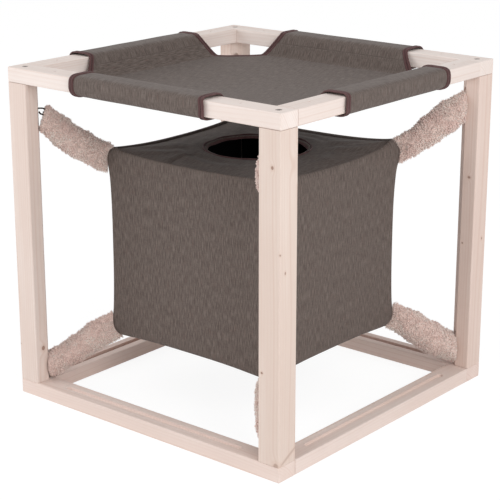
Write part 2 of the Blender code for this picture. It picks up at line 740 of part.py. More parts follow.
def cave_floor_form():
    """The floor panel: level in its middle, drawn down at its corners."""
    outer = edge_rows(False)
    rim = outer[3]
    up = np.array((0, 0, CAVE_FABRIC))
    inner_z = CAVE_BOTTOM + BOTTOM_RISE
    middle = rim * (FLOOR_RING, FLOOR_RING, 0) + (0, 0, inner_z)
    rows = [middle] + outer[::-1] + [middle + up]
    return skin(rows, first=(0, 0, inner_z), last=(0, 0, inner_z + CAVE_FABRIC))


def mouth_binding_form():
    """A binding folded over the edge of the mouth, C-shaped in section."""
    inside = MOUTH_DIAMETER / 2
    lip = inside + BINDING_WIDTH
    edge = inside + BINDING_FABRIC
    inner_half = CAVE_FABRIC / 2 + FIT_GAP
    outer_half = inner_half + BINDING_FABRIC
    profile = [(inside, -outer_half), (lip, -outer_half), (lip, -inner_half), (edge, -inner_half),
               (edge, inner_half), (lip, inner_half), (lip, outer_half), (inside, outer_half)]
    lift = Matrix.Translation((0, 0, MOUTH_Z - CAVE_FABRIC / 2))
    return placed(turned_ring(profile, MOUTH_STEPS), lift)


def floor_board_form():
    clearance = CAVE_FABRIC + FLOOR_BOARD_CLEARANCE
    bottom = CAVE_FLOOR_Z + FIT_GAP
    outline = rounded_rectangle(CAVE_WIDTH / 2 - clearance, CAVE_DEPTH / 2 - clearance,
                                CAVE_CORNER_RADIUS)
    return prism(outline, bottom, bottom + FLOOR_BOARD_THICKNESS)


def cushion_form():
    """A cushion that lies flat, with a crown and with sides drawn in between its corners. Its
    side bulges: each row has a height and an inset."""
    base = CAVE_FLOOR_Z + FLOOR_BOARD_THICKNESS + 2 * FIT_GAP
    side_height = CUSHION_HEIGHT - CUSHION_CROWN
    clearance = CAVE_FABRIC + CUSHION_CLEARANCE
    points, share = cave_ring(0.0, (CAVE_BOTTOM + CAVE_TOP) / 2)
    rows = []
    for lift, inset in CUSHION_SIDE:
        scale = 1 - (clearance + inset + CUSHION_DRAW_IN * (1 - share ** 2)) / (CAVE_WIDTH / 2)
        rows.append(with_height(points * scale[:, None], base + lift * side_height))
    rim = rows[-1]
    for ring in CUSHION_RINGS:
        top = base + side_height + CUSHION_CROWN * (1 - ring ** 2)
        rows.append(rim * (ring, ring, 0) + (0, 0, top))
    return skin(rows, first=(0, 0, base), last=(0, 0, base + CUSHION_HEIGHT))


def make_cave():
    fabric = heather_fabric()
    cave = carrier("cave")
    for side, name in enumerate(SIDES):
        wall = mesh_of("cave_wall_" + name, cave_wall_form(side), fabric, smooth_angle=50)
        put("cave_wall_" + name, wall, parent=cave)
    for name, form, finish in (("cave_top", cave_top_form(), fabric),
                               ("cave_floor", cave_floor_form(), fabric),
                               ("cave_mouth_binding", mouth_binding_form(), dark_binding()),
                               ("cave_floor_board", floor_board_form(), hardboard()),
                               ("cave_cushion", cushion_form(), plush())):
        put(name, mesh_of(name, form, finish, smooth_angle=50), parent=cave)


# Hammock

def rail_side(side):
    """A rail's outward direction, its direction, and the half sizes along and across it."""
    outward = ((0, -1, 0), (1, 0, 0), (0, 1, 0), (-1, 0, 0))[side]
    along = ((1, 0, 0), (0, 1, 0), (-1, 0, 0), (0, -1, 0))[side]
    half_along, half_out = (HALF_X, HALF_Y) if side % 2 == 0 else (HALF_Y, HALF_X)
    return Vector(outward), Vector(along), half_along, half_out


def sleeve_form(side):
    """A fabric tube round a rail, with a thicker hem at each end and its ends slanting in a
    little towards the bottom."""
    outward, along, half_along, half_out = rail_side(side)
    half_length = half_along - SLEEVE_MARGIN

    def row(end, back, thickness):
        reach = SLEEVE_SLACK + thickness
        half_wide, half_high = TIMBER_WIDTH / 2 + reach, RAIL_THICKNESS / 2 + reach
        corners = []
        for out, high in rounded_rectangle(half_wide, half_high, TIMBER_ROUNDING + reach):
            run = end * (half_length + SLEEVE_SLANT * high / half_high - back)
            height = FRAME_HEIGHT - RAIL_CENTRE_DROP + high
            corners.append(tuple(outward * (half_out - TIMBER_WIDTH / 2 + out) + along * run + UP * height))
        return corners

    hem = SLEEVE_FABRIC + HEM_THICKENING
    step = HEM_WIDTH + HEM_THICKENING
    rows = [row(-1, 0, hem), row(-1, HEM_WIDTH, hem), row(-1, step, SLEEVE_FABRIC),
            row(1, step, SLEEVE_FABRIC), row(1, HEM_WIDTH, hem), row(1, 0, hem),
            row(1, 0, 0), row(-1, 0, 0)]
    return skin(rows)


def flap_curve(turn):
    """A flap in section: a quarter ellipse from upright at the stitched line to level at the
    bed. Gives the inset from the rail's inner face, the height, and the normal's parts."""
    run, drop = BED_INSET - FLAP_TOP_INSET, STITCH_Z - BED_Z
    inset = BED_INSET - run * np.cos(turn)
    height = STITCH_Z - drop * np.sin(turn)
    length = np.hypot(drop * np.cos(turn), run * np.sin(turn))
    return inset, height, drop * np.cos(turn) / length, run * np.sin(turn) / length


def corner_line(side, inset):
    """Half the hammock's length along a rail at an inset from its inner face: the corners are
    cut at 45 degrees from one sleeve's end to the next."""
    half = HALF_X if side % 2 == 0 else HALF_Y
    return half - SLEEVE_MARGIN + inset - FLAP_TOP_INSET


def bed_sag(x, y):
    """How far the bed hangs below its edge, most in the middle and nothing at its edges."""
    half_x, half_y = INNER_X - BED_INSET, INNER_Y - BED_INSET
    return BED_SAG * (1 - (x / half_x) ** 2) * (1 - (y / half_y) ** 2)


def flap_form(side):
    """The strip between a sleeve's stitched line and the bed, thicker at its upper edge, where
    it is sewn to the sleeve."""
    outward, along, _, half_out = rail_side(side)
    inset, height, level_part, upright_part = flap_curve(FLAP_TURNS)
    inset[-1] -= FIT_GAP / 2
    seam = FLAP_TOP_INSET - SLEEVE_FACE - FIT_GAP
    faces = []
    for offset in (BED_FABRIC / 2, -BED_FABRIC / 2):
        rows = []
        for i in range(len(inset)):
            half = corner_line(side, inset[i]) - HEM_RUN
            thick = -seam if i == 0 and offset < 0 else offset
            distance = half_out - TIMBER_WIDTH - inset[i] - thick * level_part[i]
            z = height[i] + thick * upright_part[i]
            rows.append([tuple(outward * distance + along * s + UP * z)
                         for s in np.linspace(-half, half, 5).tolist()])
        faces.append(rows)
    return plate(faces[0], faces[1])


def bed_form():
    """The bed: an eight-sided sheet that sags to its middle."""
    edge_x, edge_y = INNER_X - BED_INSET - FIT_GAP / 2, INNER_Y - BED_INSET - FIT_GAP / 2
    run_x = corner_line(0, BED_INSET) - HEM_RUN
    run_y = corner_line(1, BED_INSET) - HEM_RUN
    corners = [(-run_x, -edge_y), (run_x, -edge_y), (edge_x, -run_y), (edge_x, run_y),
               (run_x, edge_y), (-run_x, edge_y), (-edge_x, run_y), (-edge_x, -run_y)]
    outline = []
    for index, start in enumerate(corners):
        end = corners[(index + 1) % len(corners)]
        steps = BED_SIDE_STEPS if index % 2 == 0 else BED_CORNER_STEPS
        for step in range(steps):
            outline.append(tuple(np.array(start) + (np.array(end) - start) * step / steps))
    outline = np.array(outline)
    rows = []
    for offset, rings in ((BED_FABRIC / 2, BED_RINGS), (-BED_FABRIC / 2, BED_RINGS[::-1])):
        for scale in rings:
            points = outline * scale
            rows.append(with_height(points, BED_Z - bed_sag(points[:, 0], points[:, 1]) + offset))
    centre_z = BED_Z - BED_SAG
    return skin(rows, first=(0, 0, centre_z + BED_FABRIC / 2), last=(0, 0, centre_z - BED_FABRIC / 2))


def corner_binding_form(sign_x, sign_y):
    """The binding of one cut-out corner: down one flap's edge, along the bed and up the next."""
    inset, height, level_part, upright_part = flap_curve(FLAP_TURNS)
    stations = []
    for i in range(len(inset)):
        x, y = corner_line(0, inset[i]), INNER_Y - inset[i]
        stations.append((x, y, height[i], 0.0, (0, -level_part[i], upright_part[i])))
    start = (corner_line(0, BED_INSET), INNER_Y - BED_INSET)
    end = (INNER_X - BED_INSET, corner_line(1, BED_INSET))
    for share in np.linspace(0, 1, HEM_STEPS + 1)[1:-1]:
        x, y = np.array(start) * (1 - share) + np.array(end) * share
        stations.append((x, y, BED_Z - bed_sag(x, y), share, (0, 0, 1)))
    for i in reversed(range(len(inset))):
        x, y = INNER_X - inset[i], corner_line(1, inset[i])
        stations.append((x, y, height[i], 1.0, (-level_part[i], 0, upright_part[i])))

    faces = []
    for offset in (HEM_FABRIC / 2, -HEM_FABRIC / 2):
        rows = []
        for x, y, z, share, normal in stations:
            angle = share * math.pi / 2
            shift = HEM_WIDTH / math.cos(angle - math.pi / 4)
            row = []
            for across, thin in HEM_SECTION:
                px = x - across * shift * math.cos(angle) + normal[0] * offset * thin
                py = y - across * shift * math.sin(angle) + normal[1] * offset * thin
                row.append((sign_x * px, sign_y * py, z + normal[2] * offset * thin))
            rows.append(row)
        faces.append(rows)
    return plate(faces[0], faces[1])


def make_hammock():
    fabric = heather_fabric()
    for side, name in enumerate(SIDES):
        for piece, form in (("hammock_sleeve_", sleeve_form(side)), ("hammock_flap_", flap_form(side))):
            put(piece + name, mesh_of(piece + name, form, fabric, smooth_angle=50))
    hammock = carrier("hammock")
    put("hammock_bed", mesh_of("hammock_bed", bed_form(), fabric, smooth_angle=50), parent=hammock)
    for corner, (sign_x, sign_y) in CORNERS.items():
        name = "hammock_binding_" + corner
        put(name, mesh_of(name, corner_binding_form(sign_x, sign_y), dark_binding()))


def main():
    for existing in list(bpy.data.objects):
        bpy.data.objects.remove(existing)
    make_frame()
    make_straps()
    make_cave()
    make_hammock()


main()
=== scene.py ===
import math
import bmesh
import bpy
import numpy as np
from bpy.props import FloatProperty, FloatVectorProperty, IntProperty, PointerProperty
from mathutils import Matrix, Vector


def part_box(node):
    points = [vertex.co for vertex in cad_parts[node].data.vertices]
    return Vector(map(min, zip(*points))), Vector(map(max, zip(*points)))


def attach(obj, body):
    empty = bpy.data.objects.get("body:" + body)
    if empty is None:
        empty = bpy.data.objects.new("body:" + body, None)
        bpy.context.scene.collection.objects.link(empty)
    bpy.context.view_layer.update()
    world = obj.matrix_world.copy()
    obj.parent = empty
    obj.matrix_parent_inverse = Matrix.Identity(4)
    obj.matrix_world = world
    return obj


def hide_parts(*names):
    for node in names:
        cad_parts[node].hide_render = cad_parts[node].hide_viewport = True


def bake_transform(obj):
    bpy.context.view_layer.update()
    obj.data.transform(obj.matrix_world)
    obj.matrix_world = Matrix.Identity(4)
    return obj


bl_info = {
    "name": "Cat hammock",
    "version": (1, 0, 0),
    "blender": (4, 5, 0),
    "location": "3D View > Sidebar > Cat Hammock",
    "description": "Dresses a whitewashed timber cube with its sewn hammock, its hanging cave "
                   "and its plush straps",
    "category": "Add Mesh",
}

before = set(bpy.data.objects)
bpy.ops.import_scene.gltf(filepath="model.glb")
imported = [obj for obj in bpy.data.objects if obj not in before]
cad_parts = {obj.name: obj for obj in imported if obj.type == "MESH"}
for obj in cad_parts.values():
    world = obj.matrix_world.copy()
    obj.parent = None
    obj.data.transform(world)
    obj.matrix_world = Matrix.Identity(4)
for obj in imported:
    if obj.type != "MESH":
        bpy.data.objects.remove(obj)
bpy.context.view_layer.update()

SIDES = ("front", "right", "back", "left")
CORNERS = {"front_left": (-1, -1), "front_right": (1, -1), "back_right": (1, 1), "back_left": (-1, 1)}
STEEL_NODES = [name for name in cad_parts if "screw" in name]

# Timber frame
HALF_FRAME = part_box("top_rail_front")[1].x
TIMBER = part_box("top_rail_front")[1].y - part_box("top_rail_front")[0].y
FRAME_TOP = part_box("top_rail_front")[1].z
RAIL_THICKNESS = FRAME_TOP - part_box("top_rail_front")[0].z
GROOVE_HALF = 0.0049
GROOVE_REACH = 0.171
RAIL_INNER = HALF_FRAME - TIMBER

# Cave
CAVE_HALF = 0.1501
CAVE_CORNER = 0.0045
LEAST_CORNER = 0.0015
CAVE_CLOTH = 0.0026
CAVE_TOP = 0.379
CAVE_BOTTOM = 0.0875
BOTTOM_RISE = 0.0055
TOP_ROLL = (0.0080, 0.0140)
FOOT_ROLL = (0.0110, 0.0250)
FOOT_IN = 0.0050
TOP_SAG = 0.0085
# Each upper edge's sag, its lean towards one end, and the depth and height of its roll.
TOP_EDGES = ((0.0066, -0.15, 0.0022, 0.0030), (0.0100, 0.10, 0.0036, 0.0090),
             (0.0065, 0.30, 0.0024, 0.0040), (0.0080, 0.10, 0.0024, 0.0030))
CORNER_LIFTS = (0.0, 0.0, 0.0036, 0.0)
STRAP_SEATS = (0.361, 0.1045)
CORNER_PULLS = {"front_left": (0.0034, 0.0029), "front_right": (0.0045, 0.0030),
                "back_right": (0.0057, 0.0028), "back_left": (0.0045, 0.0030)}
MOUTH_CENTRE = (0.003, 0.005)
MOUTH_RADIUS = 0.0732
MOUTH_BAND = 0.0080
MOUTH_Z = 0.3742
MOUTH_BINDING = 0.0042

# Hammock: the cloth's way from the bed to the stitched line, as distance in from the rail and height
SLEEVE_ENDS = ((0.1178, 0.1235), (0.1160, 0.1250), (0.1225, 0.1225), (0.1225, 0.1225))
SLEEVE_NOSE = 0.0085
SLEEVE_FACE = 0.0040
SLEEVE_BACK = 0.0030
BED_Z = 0.4675
BED_INSET = 0.022
FLAP_PROFILE = ((0.0220, 0.4675), (0.0195, 0.4677), (0.0176, 0.4686), (0.0158, 0.4707), (0.0142, 0.4737),
                (0.0124, 0.4776), (0.0102, 0.4826), (0.0080, 0.4875))
BINDING_WIDTH = 0.0095
BINDING_THICKNESS = 0.0034
BINDING_OVERHANG = 0.0006
GROOVE_COLUMN = 10
BED_CLOTH = 0.0018
SLEEVE_CLOTH = 0.0010
STITCH_SPACING = 0.0034
STITCH_LENGTH = 0.0025
THREAD = 0.0006
OFF_CLOTH = 0.001

# Straps
RING_REACH = 0.21697
RING_HEIGHTS = (0.434, 0.052)
CHAMFER_REACH = 0.22125
RING_WIRE = 0.00125
RING_BEND = 0.0045
CORD_RADIUS = 0.001
CUFF_ROWS = 7
CUFF_REACH = 0.0115
COVER_ROWS = 60
COVER_GAP = 0.0004
COVER_POST_GAP = 0.0006
PILE_GAP = 0.0002
TONE_PATCHES = 36
CLUMP_PULL = 0.0017
# How much of a round corner's radius its diagonal cuts off: one less the root of a half
CORNER_SHARE = 0.293

# Cushion
CUSHION_SHARE = 0.955
CUSHION_POWER = 0.30
PLUMP_FRAMES = 20
SEAM_HEIGHT = 0.4
PIPING_RADIUS = 0.0016

# Flat cloth: each sheet's size, and its area where that isn't the whole rectangle
SIDE_FLAT = (0.311, 0.297)
ROOF_FLAT, ROOF_AREA = (0.306, 0.306), 0.0755
BASE_FLAT = (0.297, 0.297)

# Stage
CAMERA_PLACE = (1.4047, -1.6975, 0.8986)
CAMERA_DOWN, CAMERA_ROUND = 17.223, 39.754
CAMERA_LENS, CAMERA_SENSOR = 110.51, 36.0
FLOOR_REACH = 4.0
PAPER_GREY, PAPER_GLOW = (0.19, 0.19, 0.19, 1.0), 0.88


def linear(code):
    """An sRGB hex value as linear red, green and blue."""
    parts = [int(code[i:i + 2], 16) / 255 for i in (1, 3, 5)]
    return tuple(p / 12.92 if p <= 0.04045 else ((p + 0.055) / 1.055) ** 2.4 for p in parts)


def colour_setting(name, description, code):
    return FloatVectorProperty(name=name, description=description, subtype="COLOR", size=3,
                               min=0, max=1, default=linear(code))


def length_setting(name, description, default):
    return FloatProperty(name=name, description=description, default=default, unit="LENGTH",
                         precision=4)


# Materials
def add(tree, kind, inputs=None, **settings):
    """Adds a node, gives it its settings, and sets or links its inputs."""
    made = tree.nodes.new("ShaderNode" + kind)
    for name, value in settings.items():
        setattr(made, name, value)
    for key, value in (inputs or {}).items():
        if isinstance(value, bpy.types.Node):
            tree.links.new(value.outputs[0], made.inputs[key])
        elif isinstance(value, bpy.types.NodeSocket):
            tree.links.new(value, made.inputs[key])
        else:
            made.inputs[key].default_value = value
    return made


def new_material(name, **values):
    """A material whose principled shader has its plain values set on its own sockets."""
    made = bpy.data.materials.new(name)
    made.use_nodes = True
    shader = made.node_tree.nodes["Principled BSDF"]
    for socket, value in values.items():
        shader.inputs[socket.replace("_", " ")].default_value = value
    return made, made.node_tree, shader


def maths(tree, operation, *values):
    return add(tree, "Math", dict(enumerate(values)), operation=operation)


def mixed(tree, share, first, second):
    """One colour, a node's or a plain one, blended over another by a share."""
    inputs = {"Fac": share}
    for key, value in (("Color1", first), ("Color2", second)):
        inputs[key] = value if isinstance(value, bpy.types.Node) else (*value, 1.0)
    return add(tree, "MixRGB", inputs)


def band(tree, value, low, high, start=0.0, end=1.0):
    """A value carried smoothly from one range to another."""
    return add(tree, "MapRange", {"Value": value, "From Min": low, "From Max": high,
                                  "To Min": start, "To Max": end}, interpolation_type="SMOOTHSTEP")


def grained(tree, place, scale, detail, roughness=0.5, offset=(0.0, 0.0, 0.0)):
    """A noise stretched by a scale for each direction, in repeats a metre."""
    spread = add(tree, "Mapping", {"Vector": place, "Scale": scale, "Location": offset})
    return add(tree, "TexNoise", {"Vector": spread, "Scale": 1.0, "Detail": detail,
                                  "Roughness": roughness}).outputs[0]


def coloured(tree, shader, colour):
    tree.links.new(colour.outputs[0], shader.inputs["Base Color"])


def bumped(tree, shader, height, distance, strength):
    """Relief from a height that counts as much as a distance in metres."""
    relief = add(tree, "Bump", {"Height": height, "Distance": distance, "Strength": strength})
    tree.links.new(relief.outputs[0], shader.inputs["Normal"])


GRAIN_TURNS = {"x": (0, 0, 0), "y": (0, 0, -math.pi / 2), "z": (0, math.pi / 2, 0)}


def whitewashed_pine(name, axis, heart, tone, knots, finish):
    """Planed pine under a thin white wash: pale and faintly pink, with late wood that shows
    through as soft lines of uneven strength. Its rings are the distance from the log's heart,
    which lies beside the piece, and they bend round its knots. A knot is a tilted ellipsoid."""
    made, tree, shader = new_material(name, Roughness=0.62, Specular_IOR_Level=0.3)
    # Every colour is scaled by the timber's tone: painted shade, darker and warmer on the timbers that
    # stand in shade.
    wash, late_wood, fibre_line, knot = (
        tuple(a * b for a, b in zip(colour, linear(tone)))
        for colour in (finish.wash, finish.late_wood, finish.fibre, finish.knot))
    place = add(tree, "TexCoord").outputs["Object"]
    grain = add(tree, "Mapping", {"Vector": place, "Rotation": GRAIN_TURNS[axis], "Location": heart})
    across = add(tree, "VectorMath", {0: grain, 1: (0.0, 1.0, 1.0)}, operation="MULTIPLY")
    ring = add(tree, "VectorMath", {0: across}, operation="LENGTH").outputs["Value"]
    wander = maths(tree, "MULTIPLY", grained(tree, grain, (2.2, 12.0, 12.0), 1.0), 0.014)
    ring = maths(tree, "ADD", ring, wander)
    masks = []
    for centre, radii, tilt, eye, bend in knots:
        away = add(tree, "Mapping", {"Vector": place, "Location": centre, "Rotation": (tilt, 0, 0),
                                     "Scale": radii}, vector_type="TEXTURE")
        away = add(tree, "VectorMath", {0: away}, operation="LENGTH").outputs["Value"]
        if bend:
            ring = maths(tree, "ADD", ring, band(tree, away, 0.6, 5.0, bend, 0.0))
        masks.append((away, eye))
    count = maths(tree, "DIVIDE", ring, finish.ring_spacing)
    year = add(tree, "TexWhiteNoise", {"W": maths(tree, "FLOOR", count)}, noise_dimensions="1D")
    phase = maths(tree, "FRACT", count)
    late = maths(tree, "MULTIPLY", band(tree, phase, 0.30, 0.88), band(tree, phase, 0.88, 1.0, 1.0, 0.0))
    late = maths(tree, "MULTIPLY", late, band(tree, year.outputs["Value"], 0.0, 1.0, 0.08, 0.6))
    # Fibres of 0.1 mm are too fine to show, so they are drawn 0.9 mm wide and 60 mm long.
    fibre = band(tree, grained(tree, grain, (16.0, 1100.0, 1100.0), 3.0, 0.6), 0.35, 0.75)
    cloud = band(tree, grained(tree, grain, (4.0, 38.0, 38.0), 2.0), 0.3, 0.75)
    colour = mixed(tree, late, wash, late_wood)
    colour = mixed(tree, band(tree, fibre, 0.0, 1.0, 0.0, 0.3), colour, fibre_line)
    colour = mixed(tree, band(tree, cloud, 0.0, 1.0, 0.3, 0.0), colour, late_wood)
    for away, eye in masks:
        colour = mixed(tree, band(tree, away, 1.0, 2.6, 0.3 + 0.4 * eye, 0.0), colour, late_wood)
        colour = mixed(tree, band(tree, away, 0.7, 1.15, eye, 0.0), colour, knot)
    # Painted shade in the grooves of the back and left bottom rails, which lie in shade.
    for rail, across in (("bottom_rail_back", "Y"), ("bottom_rail_left", "X")):
        if name.endswith(rail):
            colour = groove_painted_shade(tree, place, across, colour, finish)
    coloured(tree, shader, colour)
    relief = maths(tree, "ADD", fibre, late)
    bumped(tree, shader, relief, 0.0001, 0.5)
    return made


def groove_painted_shade(tree, place, across, colour, finish):
    """Painted shade inside a bottom rail's routed groove: a darker colour on all that
    lies near the rail's middle line, between the groove's ends and below the rail's top."""
    split = add(tree, "SeparateXYZ", {0: place}).outputs
    off = maths(tree, "SUBTRACT", maths(tree, "ABSOLUTE", split[across]), HALF_FRAME - TIMBER / 2)
    along = maths(tree, "ABSOLUTE", split["Y" if across == "X" else "X"])
    inside = maths(tree, "LESS_THAN", maths(tree, "ABSOLUTE", off), GROOVE_HALF)
    for test, value, limit in (("LESS_THAN", split["Z"], RAIL_THICKNESS - 0.0003),
                               ("LESS_THAN", along, GROOVE_REACH), ("GREATER_THAN", split["Z"], 0.003)):
        inside = maths(tree, "MULTIPLY", inside, maths(tree, test, value, limit))
    return mixed(tree, inside, colour, finish.groove_shade)


def black_oxide_steel():
    """Machined steel under a black oxide: nearly black, with a soft, uneven gloss."""
    made, tree, shader = new_material("black_oxide_steel", Metallic=0.85)
    place = add(tree, "TexCoord").outputs["Object"]
    patch = grained(tree, place, (900.0, 900.0, 900.0), 3.0)
    colour = mixed(tree, band(tree, patch, 0.35, 0.7), linear("#2A2523"), linear("#4A423D"))
    coloured(tree, shader, colour)
    tree.links.new(band(tree, patch, 0.3, 0.7, 0.32, 0.5).outputs[0], shader.inputs["Roughness"])
    return made


def woven_place(tree):
    return add(tree, "UVMap", uv_map="cloth").outputs["UV"]


def heather_canvas(finish):
    """Woven polyester in mixed brown and grey yarns: matt, with light and dark slubs along the
    warp and a few reddish ones. The 0.4 mm yarn is drawn in slubs 1.2 mm wide and 14 mm long."""
    made, tree, shader = new_material("heather_canvas", Roughness=0.92, Specular_IOR_Level=0.2,
                                      Sheen_Weight=0.10, Sheen_Roughness=0.5)
    place = woven_place(tree)
    slub = grained(tree, place, (820.0, 70.0, 1.0), 2.0, 0.6)
    fine = grained(tree, place, (1700.0, 260.0, 1.0), 2.0, 0.6, (3.1, 7.7, 0.0))
    weft = grained(tree, place, (110.0, 1300.0, 1.0), 1.0, 0.5, (9.3, 1.2, 0.0))
    warm = grained(tree, place, (640.0, 55.0, 1.0), 1.0, 0.5, (17.0, 4.0, 0.0))
    colour = mixed(tree, band(tree, slub, 0.36, 0.70), finish.yarn, finish.slub)
    colour = mixed(tree, band(tree, warm, 0.58, 0.80, 0.0, 0.5), colour, finish.fleck)
    colour = mixed(tree, band(tree, fine, 0.35, 0.75, 0.0, 0.35), colour, finish.slub)
    # Painted shade between the weft threads.
    colour = mixed(tree, band(tree, weft, 0.45, 0.7, 0.0, 0.22), colour, finish.shade)
    coloured(tree, shader, colour)
    threads = maths(tree, "ADD", fine, weft)
    bumped(tree, shader, threads, 0.0002, 0.5)
    return made


def black_lining():
    """The thin black polyester that backs the cave's panels inside: flat and dark."""
    made, tree, shader = new_material("black_lining", Roughness=0.95, Specular_IOR_Level=0.1)
    place = woven_place(tree)
    weave = grained(tree, place, (900.0, 900.0, 1.0), 2.0)
    colour = mixed(tree, band(tree, weave, 0.3, 0.7), linear("#0C0B0C"), linear("#171416"))
    coloured(tree, shader, colour)
    bumped(tree, shader, weave, 0.0002, 0.5)
    return made


def bias_binding(finish):
    """Cotton twill tape folded over a cut edge: dark maroon brown, with a fine slanting rib and
    a row of stitches along each ridge."""
    made, tree, shader = new_material("bias_binding", Roughness=0.85, Specular_IOR_Level=0.25,
                                      Sheen_Weight=0.1)
    place = woven_place(tree)
    slanted = add(tree, "Mapping", {"Vector": place, "Rotation": (0, 0, math.radians(35))})
    rib = add(tree, "TexWave", {"Vector": slanted, "Scale": 320.0, "Distortion": 0.6, "Detail": 1.0})
    worn = grained(tree, place, (160.0, 300.0, 1.0), 2.0)
    over = add(tree, "SeparateXYZ", {0: place}).outputs["Y"]
    groove = maths(tree, "MULTIPLY", band(tree, over, 0.0036, 0.0047),
                   band(tree, over, 0.0051, 0.0062, 1.0, 0.0))
    light = finish.binding_light
    colour = mixed(tree, band(tree, worn, 0.3, 0.75), finish.binding, light)
    colour = mixed(tree, band(tree, rib.outputs[1], 0.4, 1.0, 0.0, 0.2), colour, light)
    # Painted shade in the sewn groove between the binding's two ridges.
    colour = mixed(tree, band(tree, groove, 0.0, 1.0, 0.0, 0.75), colour, finish.binding_groove_shade)
    coloured(tree, shader, colour)
    bumped(tree, shader, rib.outputs[1], 0.0002, 0.6)
    return made


def curly_plush(finish):
    """Polyester teddy pile: pale greyish pink curls, with painted shade that makes them darker and browner
    towards their roots.
    """
    made, tree, shader = new_material("curly_plush", Roughness=0.9, Specular_IOR_Level=0.15,
                                      Sheen_Weight=0.25, Sheen_Roughness=0.4)
    height = add(tree, "Attribute", attribute_name="pile_height").outputs["Fac"]
    tone = add(tree, "Attribute", attribute_name="pile_tone").outputs["Fac"]
    tip = mixed(tree, tone, finish.pile_cool, finish.pile_warm)
    # Painted shade: darker and browner towards the foot of each curl.
    colour = mixed(tree, band(tree, height, 0.0, 0.65), finish.pile_shade, tip)
    coloured(tree, shader, colour)
    return made


def cushion_fleece(finish):
    """The same pile clipped short on the cushion, so its clumps are relief and painted shade."""
    made, tree, shader = new_material("cushion_fleece", Roughness=0.95, Specular_IOR_Level=0.15,
                                      Sheen_Weight=0.25)
    place = add(tree, "TexCoord").outputs["Object"]
    clump = add(tree, "TexVoronoi", {"Vector": place, "Scale": 260.0}).outputs["Distance"]
    fluff = grained(tree, place, (900.0, 900.0, 900.0), 3.0)
    colour = mixed(tree, band(tree, fluff, 0.3, 0.7), finish.pile_cool, finish.pile_warm)
    # Painted shade towards the edges of the clumps, between them.
    colour = mixed(tree, band(tree, clump, 0.2, 0.8, 0.0, 0.7), colour, finish.pile_shade)
    coloured(tree, shader, colour)
    relief = maths(tree, "SUBTRACT", fluff, clump)
    bumped(tree, shader, relief, 0.002, 0.8)
    return made


def sewing_thread(name, code):
    """Spun polyester sewing thread: matt, a shade off the cloth it holds."""
    return new_material(name, Base_Color=(*linear(code), 1.0), Roughness=0.7, Specular_IOR_Level=0.3)[0]


def black_cord():
    """Braided polyester cord: black, with the braid's short slanting strands."""
    made, tree, shader = new_material("black_cord", Roughness=0.7)
    place = woven_place(tree)
    braid = add(tree, "TexVoronoi", {"Vector": add(tree, "Mapping", {
        "Vector": place, "Scale": (900.0, 500.0, 1.0), "Rotation": (0, 0, 0.6)}), "Scale": 1.0})
    # Painted shade between the braid's strands, which are lighter in their middles.
    braid_shade = band(tree, braid.outputs["Distance"], 0.1, 0.8)
    colour = mixed(tree, braid_shade, linear("#2B2626"), linear("#0E0D0D"))
    coloured(tree, shader, colour)
    bumped(tree, shader, braid.outputs["Distance"], 0.0004, 0.6)
    return made


def hardboard():
    """Pressed wood fibre: brown, smooth, with fine flecks of fibre."""
    made, tree, shader = new_material("hardboard", Roughness=0.5)
    place = add(tree, "TexCoord").outputs["Object"]
    fleck = grained(tree, place, (500.0, 700.0, 500.0), 4.0, 0.7)
    colour = mixed(tree, band(tree, fleck, 0.35, 0.7), linear("#6B4A30"), linear("#9A7450"))
    coloured(tree, shader, colour)
    bumped(tree, shader, fleck, 0.0001, 0.4)
    return made


# Numbers and meshes
def bell(x, width):
    return np.exp(-(x / width) ** 2)


def clamped(x):
    return np.clip(x, 0, 1)


def joined(*parts):
    """Coordinates, stretched to one shape, put together as the last axis."""
    return np.stack(np.broadcast_arrays(*parts), axis=-1)


def unit(vectors):
    return vectors / np.maximum(np.linalg.norm(vectors, axis=-1, keepdims=True), 1e-12)


def run_along(path):
    """The length along a path from its start to each of its points."""
    return np.concatenate(([0], np.cumsum(np.linalg.norm(np.diff(path, axis=0), axis=1))))


def patch(points, cloth=None, round_it=False, flip=False):
    """A grid of points, rows by columns. Where round_it is set the last column lies on the
    first and shares its vertices. Gives vertices, faces and a cloth position for each corner."""
    rows, columns = points.shape[:2]
    width = columns - 1 if round_it else columns
    i, j = np.meshgrid(np.arange(rows - 1), np.arange(columns - 1), indexing="ij")
    i, j = i.ravel(), j.ravel()
    corner_rows = np.stack((i, i, i + 1, i + 1), axis=1)
    corner_columns = np.stack((j, j + 1, j + 1, j), axis=1)
    if flip:
        corner_rows, corner_columns = corner_rows[:, ::-1], corner_columns[:, ::-1]
    faces = corner_rows * width + corner_columns % width
    if cloth is None:
        cloth = np.zeros((rows, columns, 2))
    return {"points": points[:, :width].reshape(-1, 3), "faces": faces, "slot": 0,
            "cloth": cloth[corner_rows, corner_columns].reshape(-1, 2)}


def into_scene(name, mesh, materials):
    """A smooth mesh as an object at the origin."""
    mesh.polygons.foreach_set("use_smooth", np.ones(len(mesh.polygons), bool))
    mesh.validate()
    for material in materials:
        mesh.materials.append(material)
    piece = bpy.data.objects.new(name, mesh)
    bpy.context.scene.collection.objects.link(piece)
    return piece


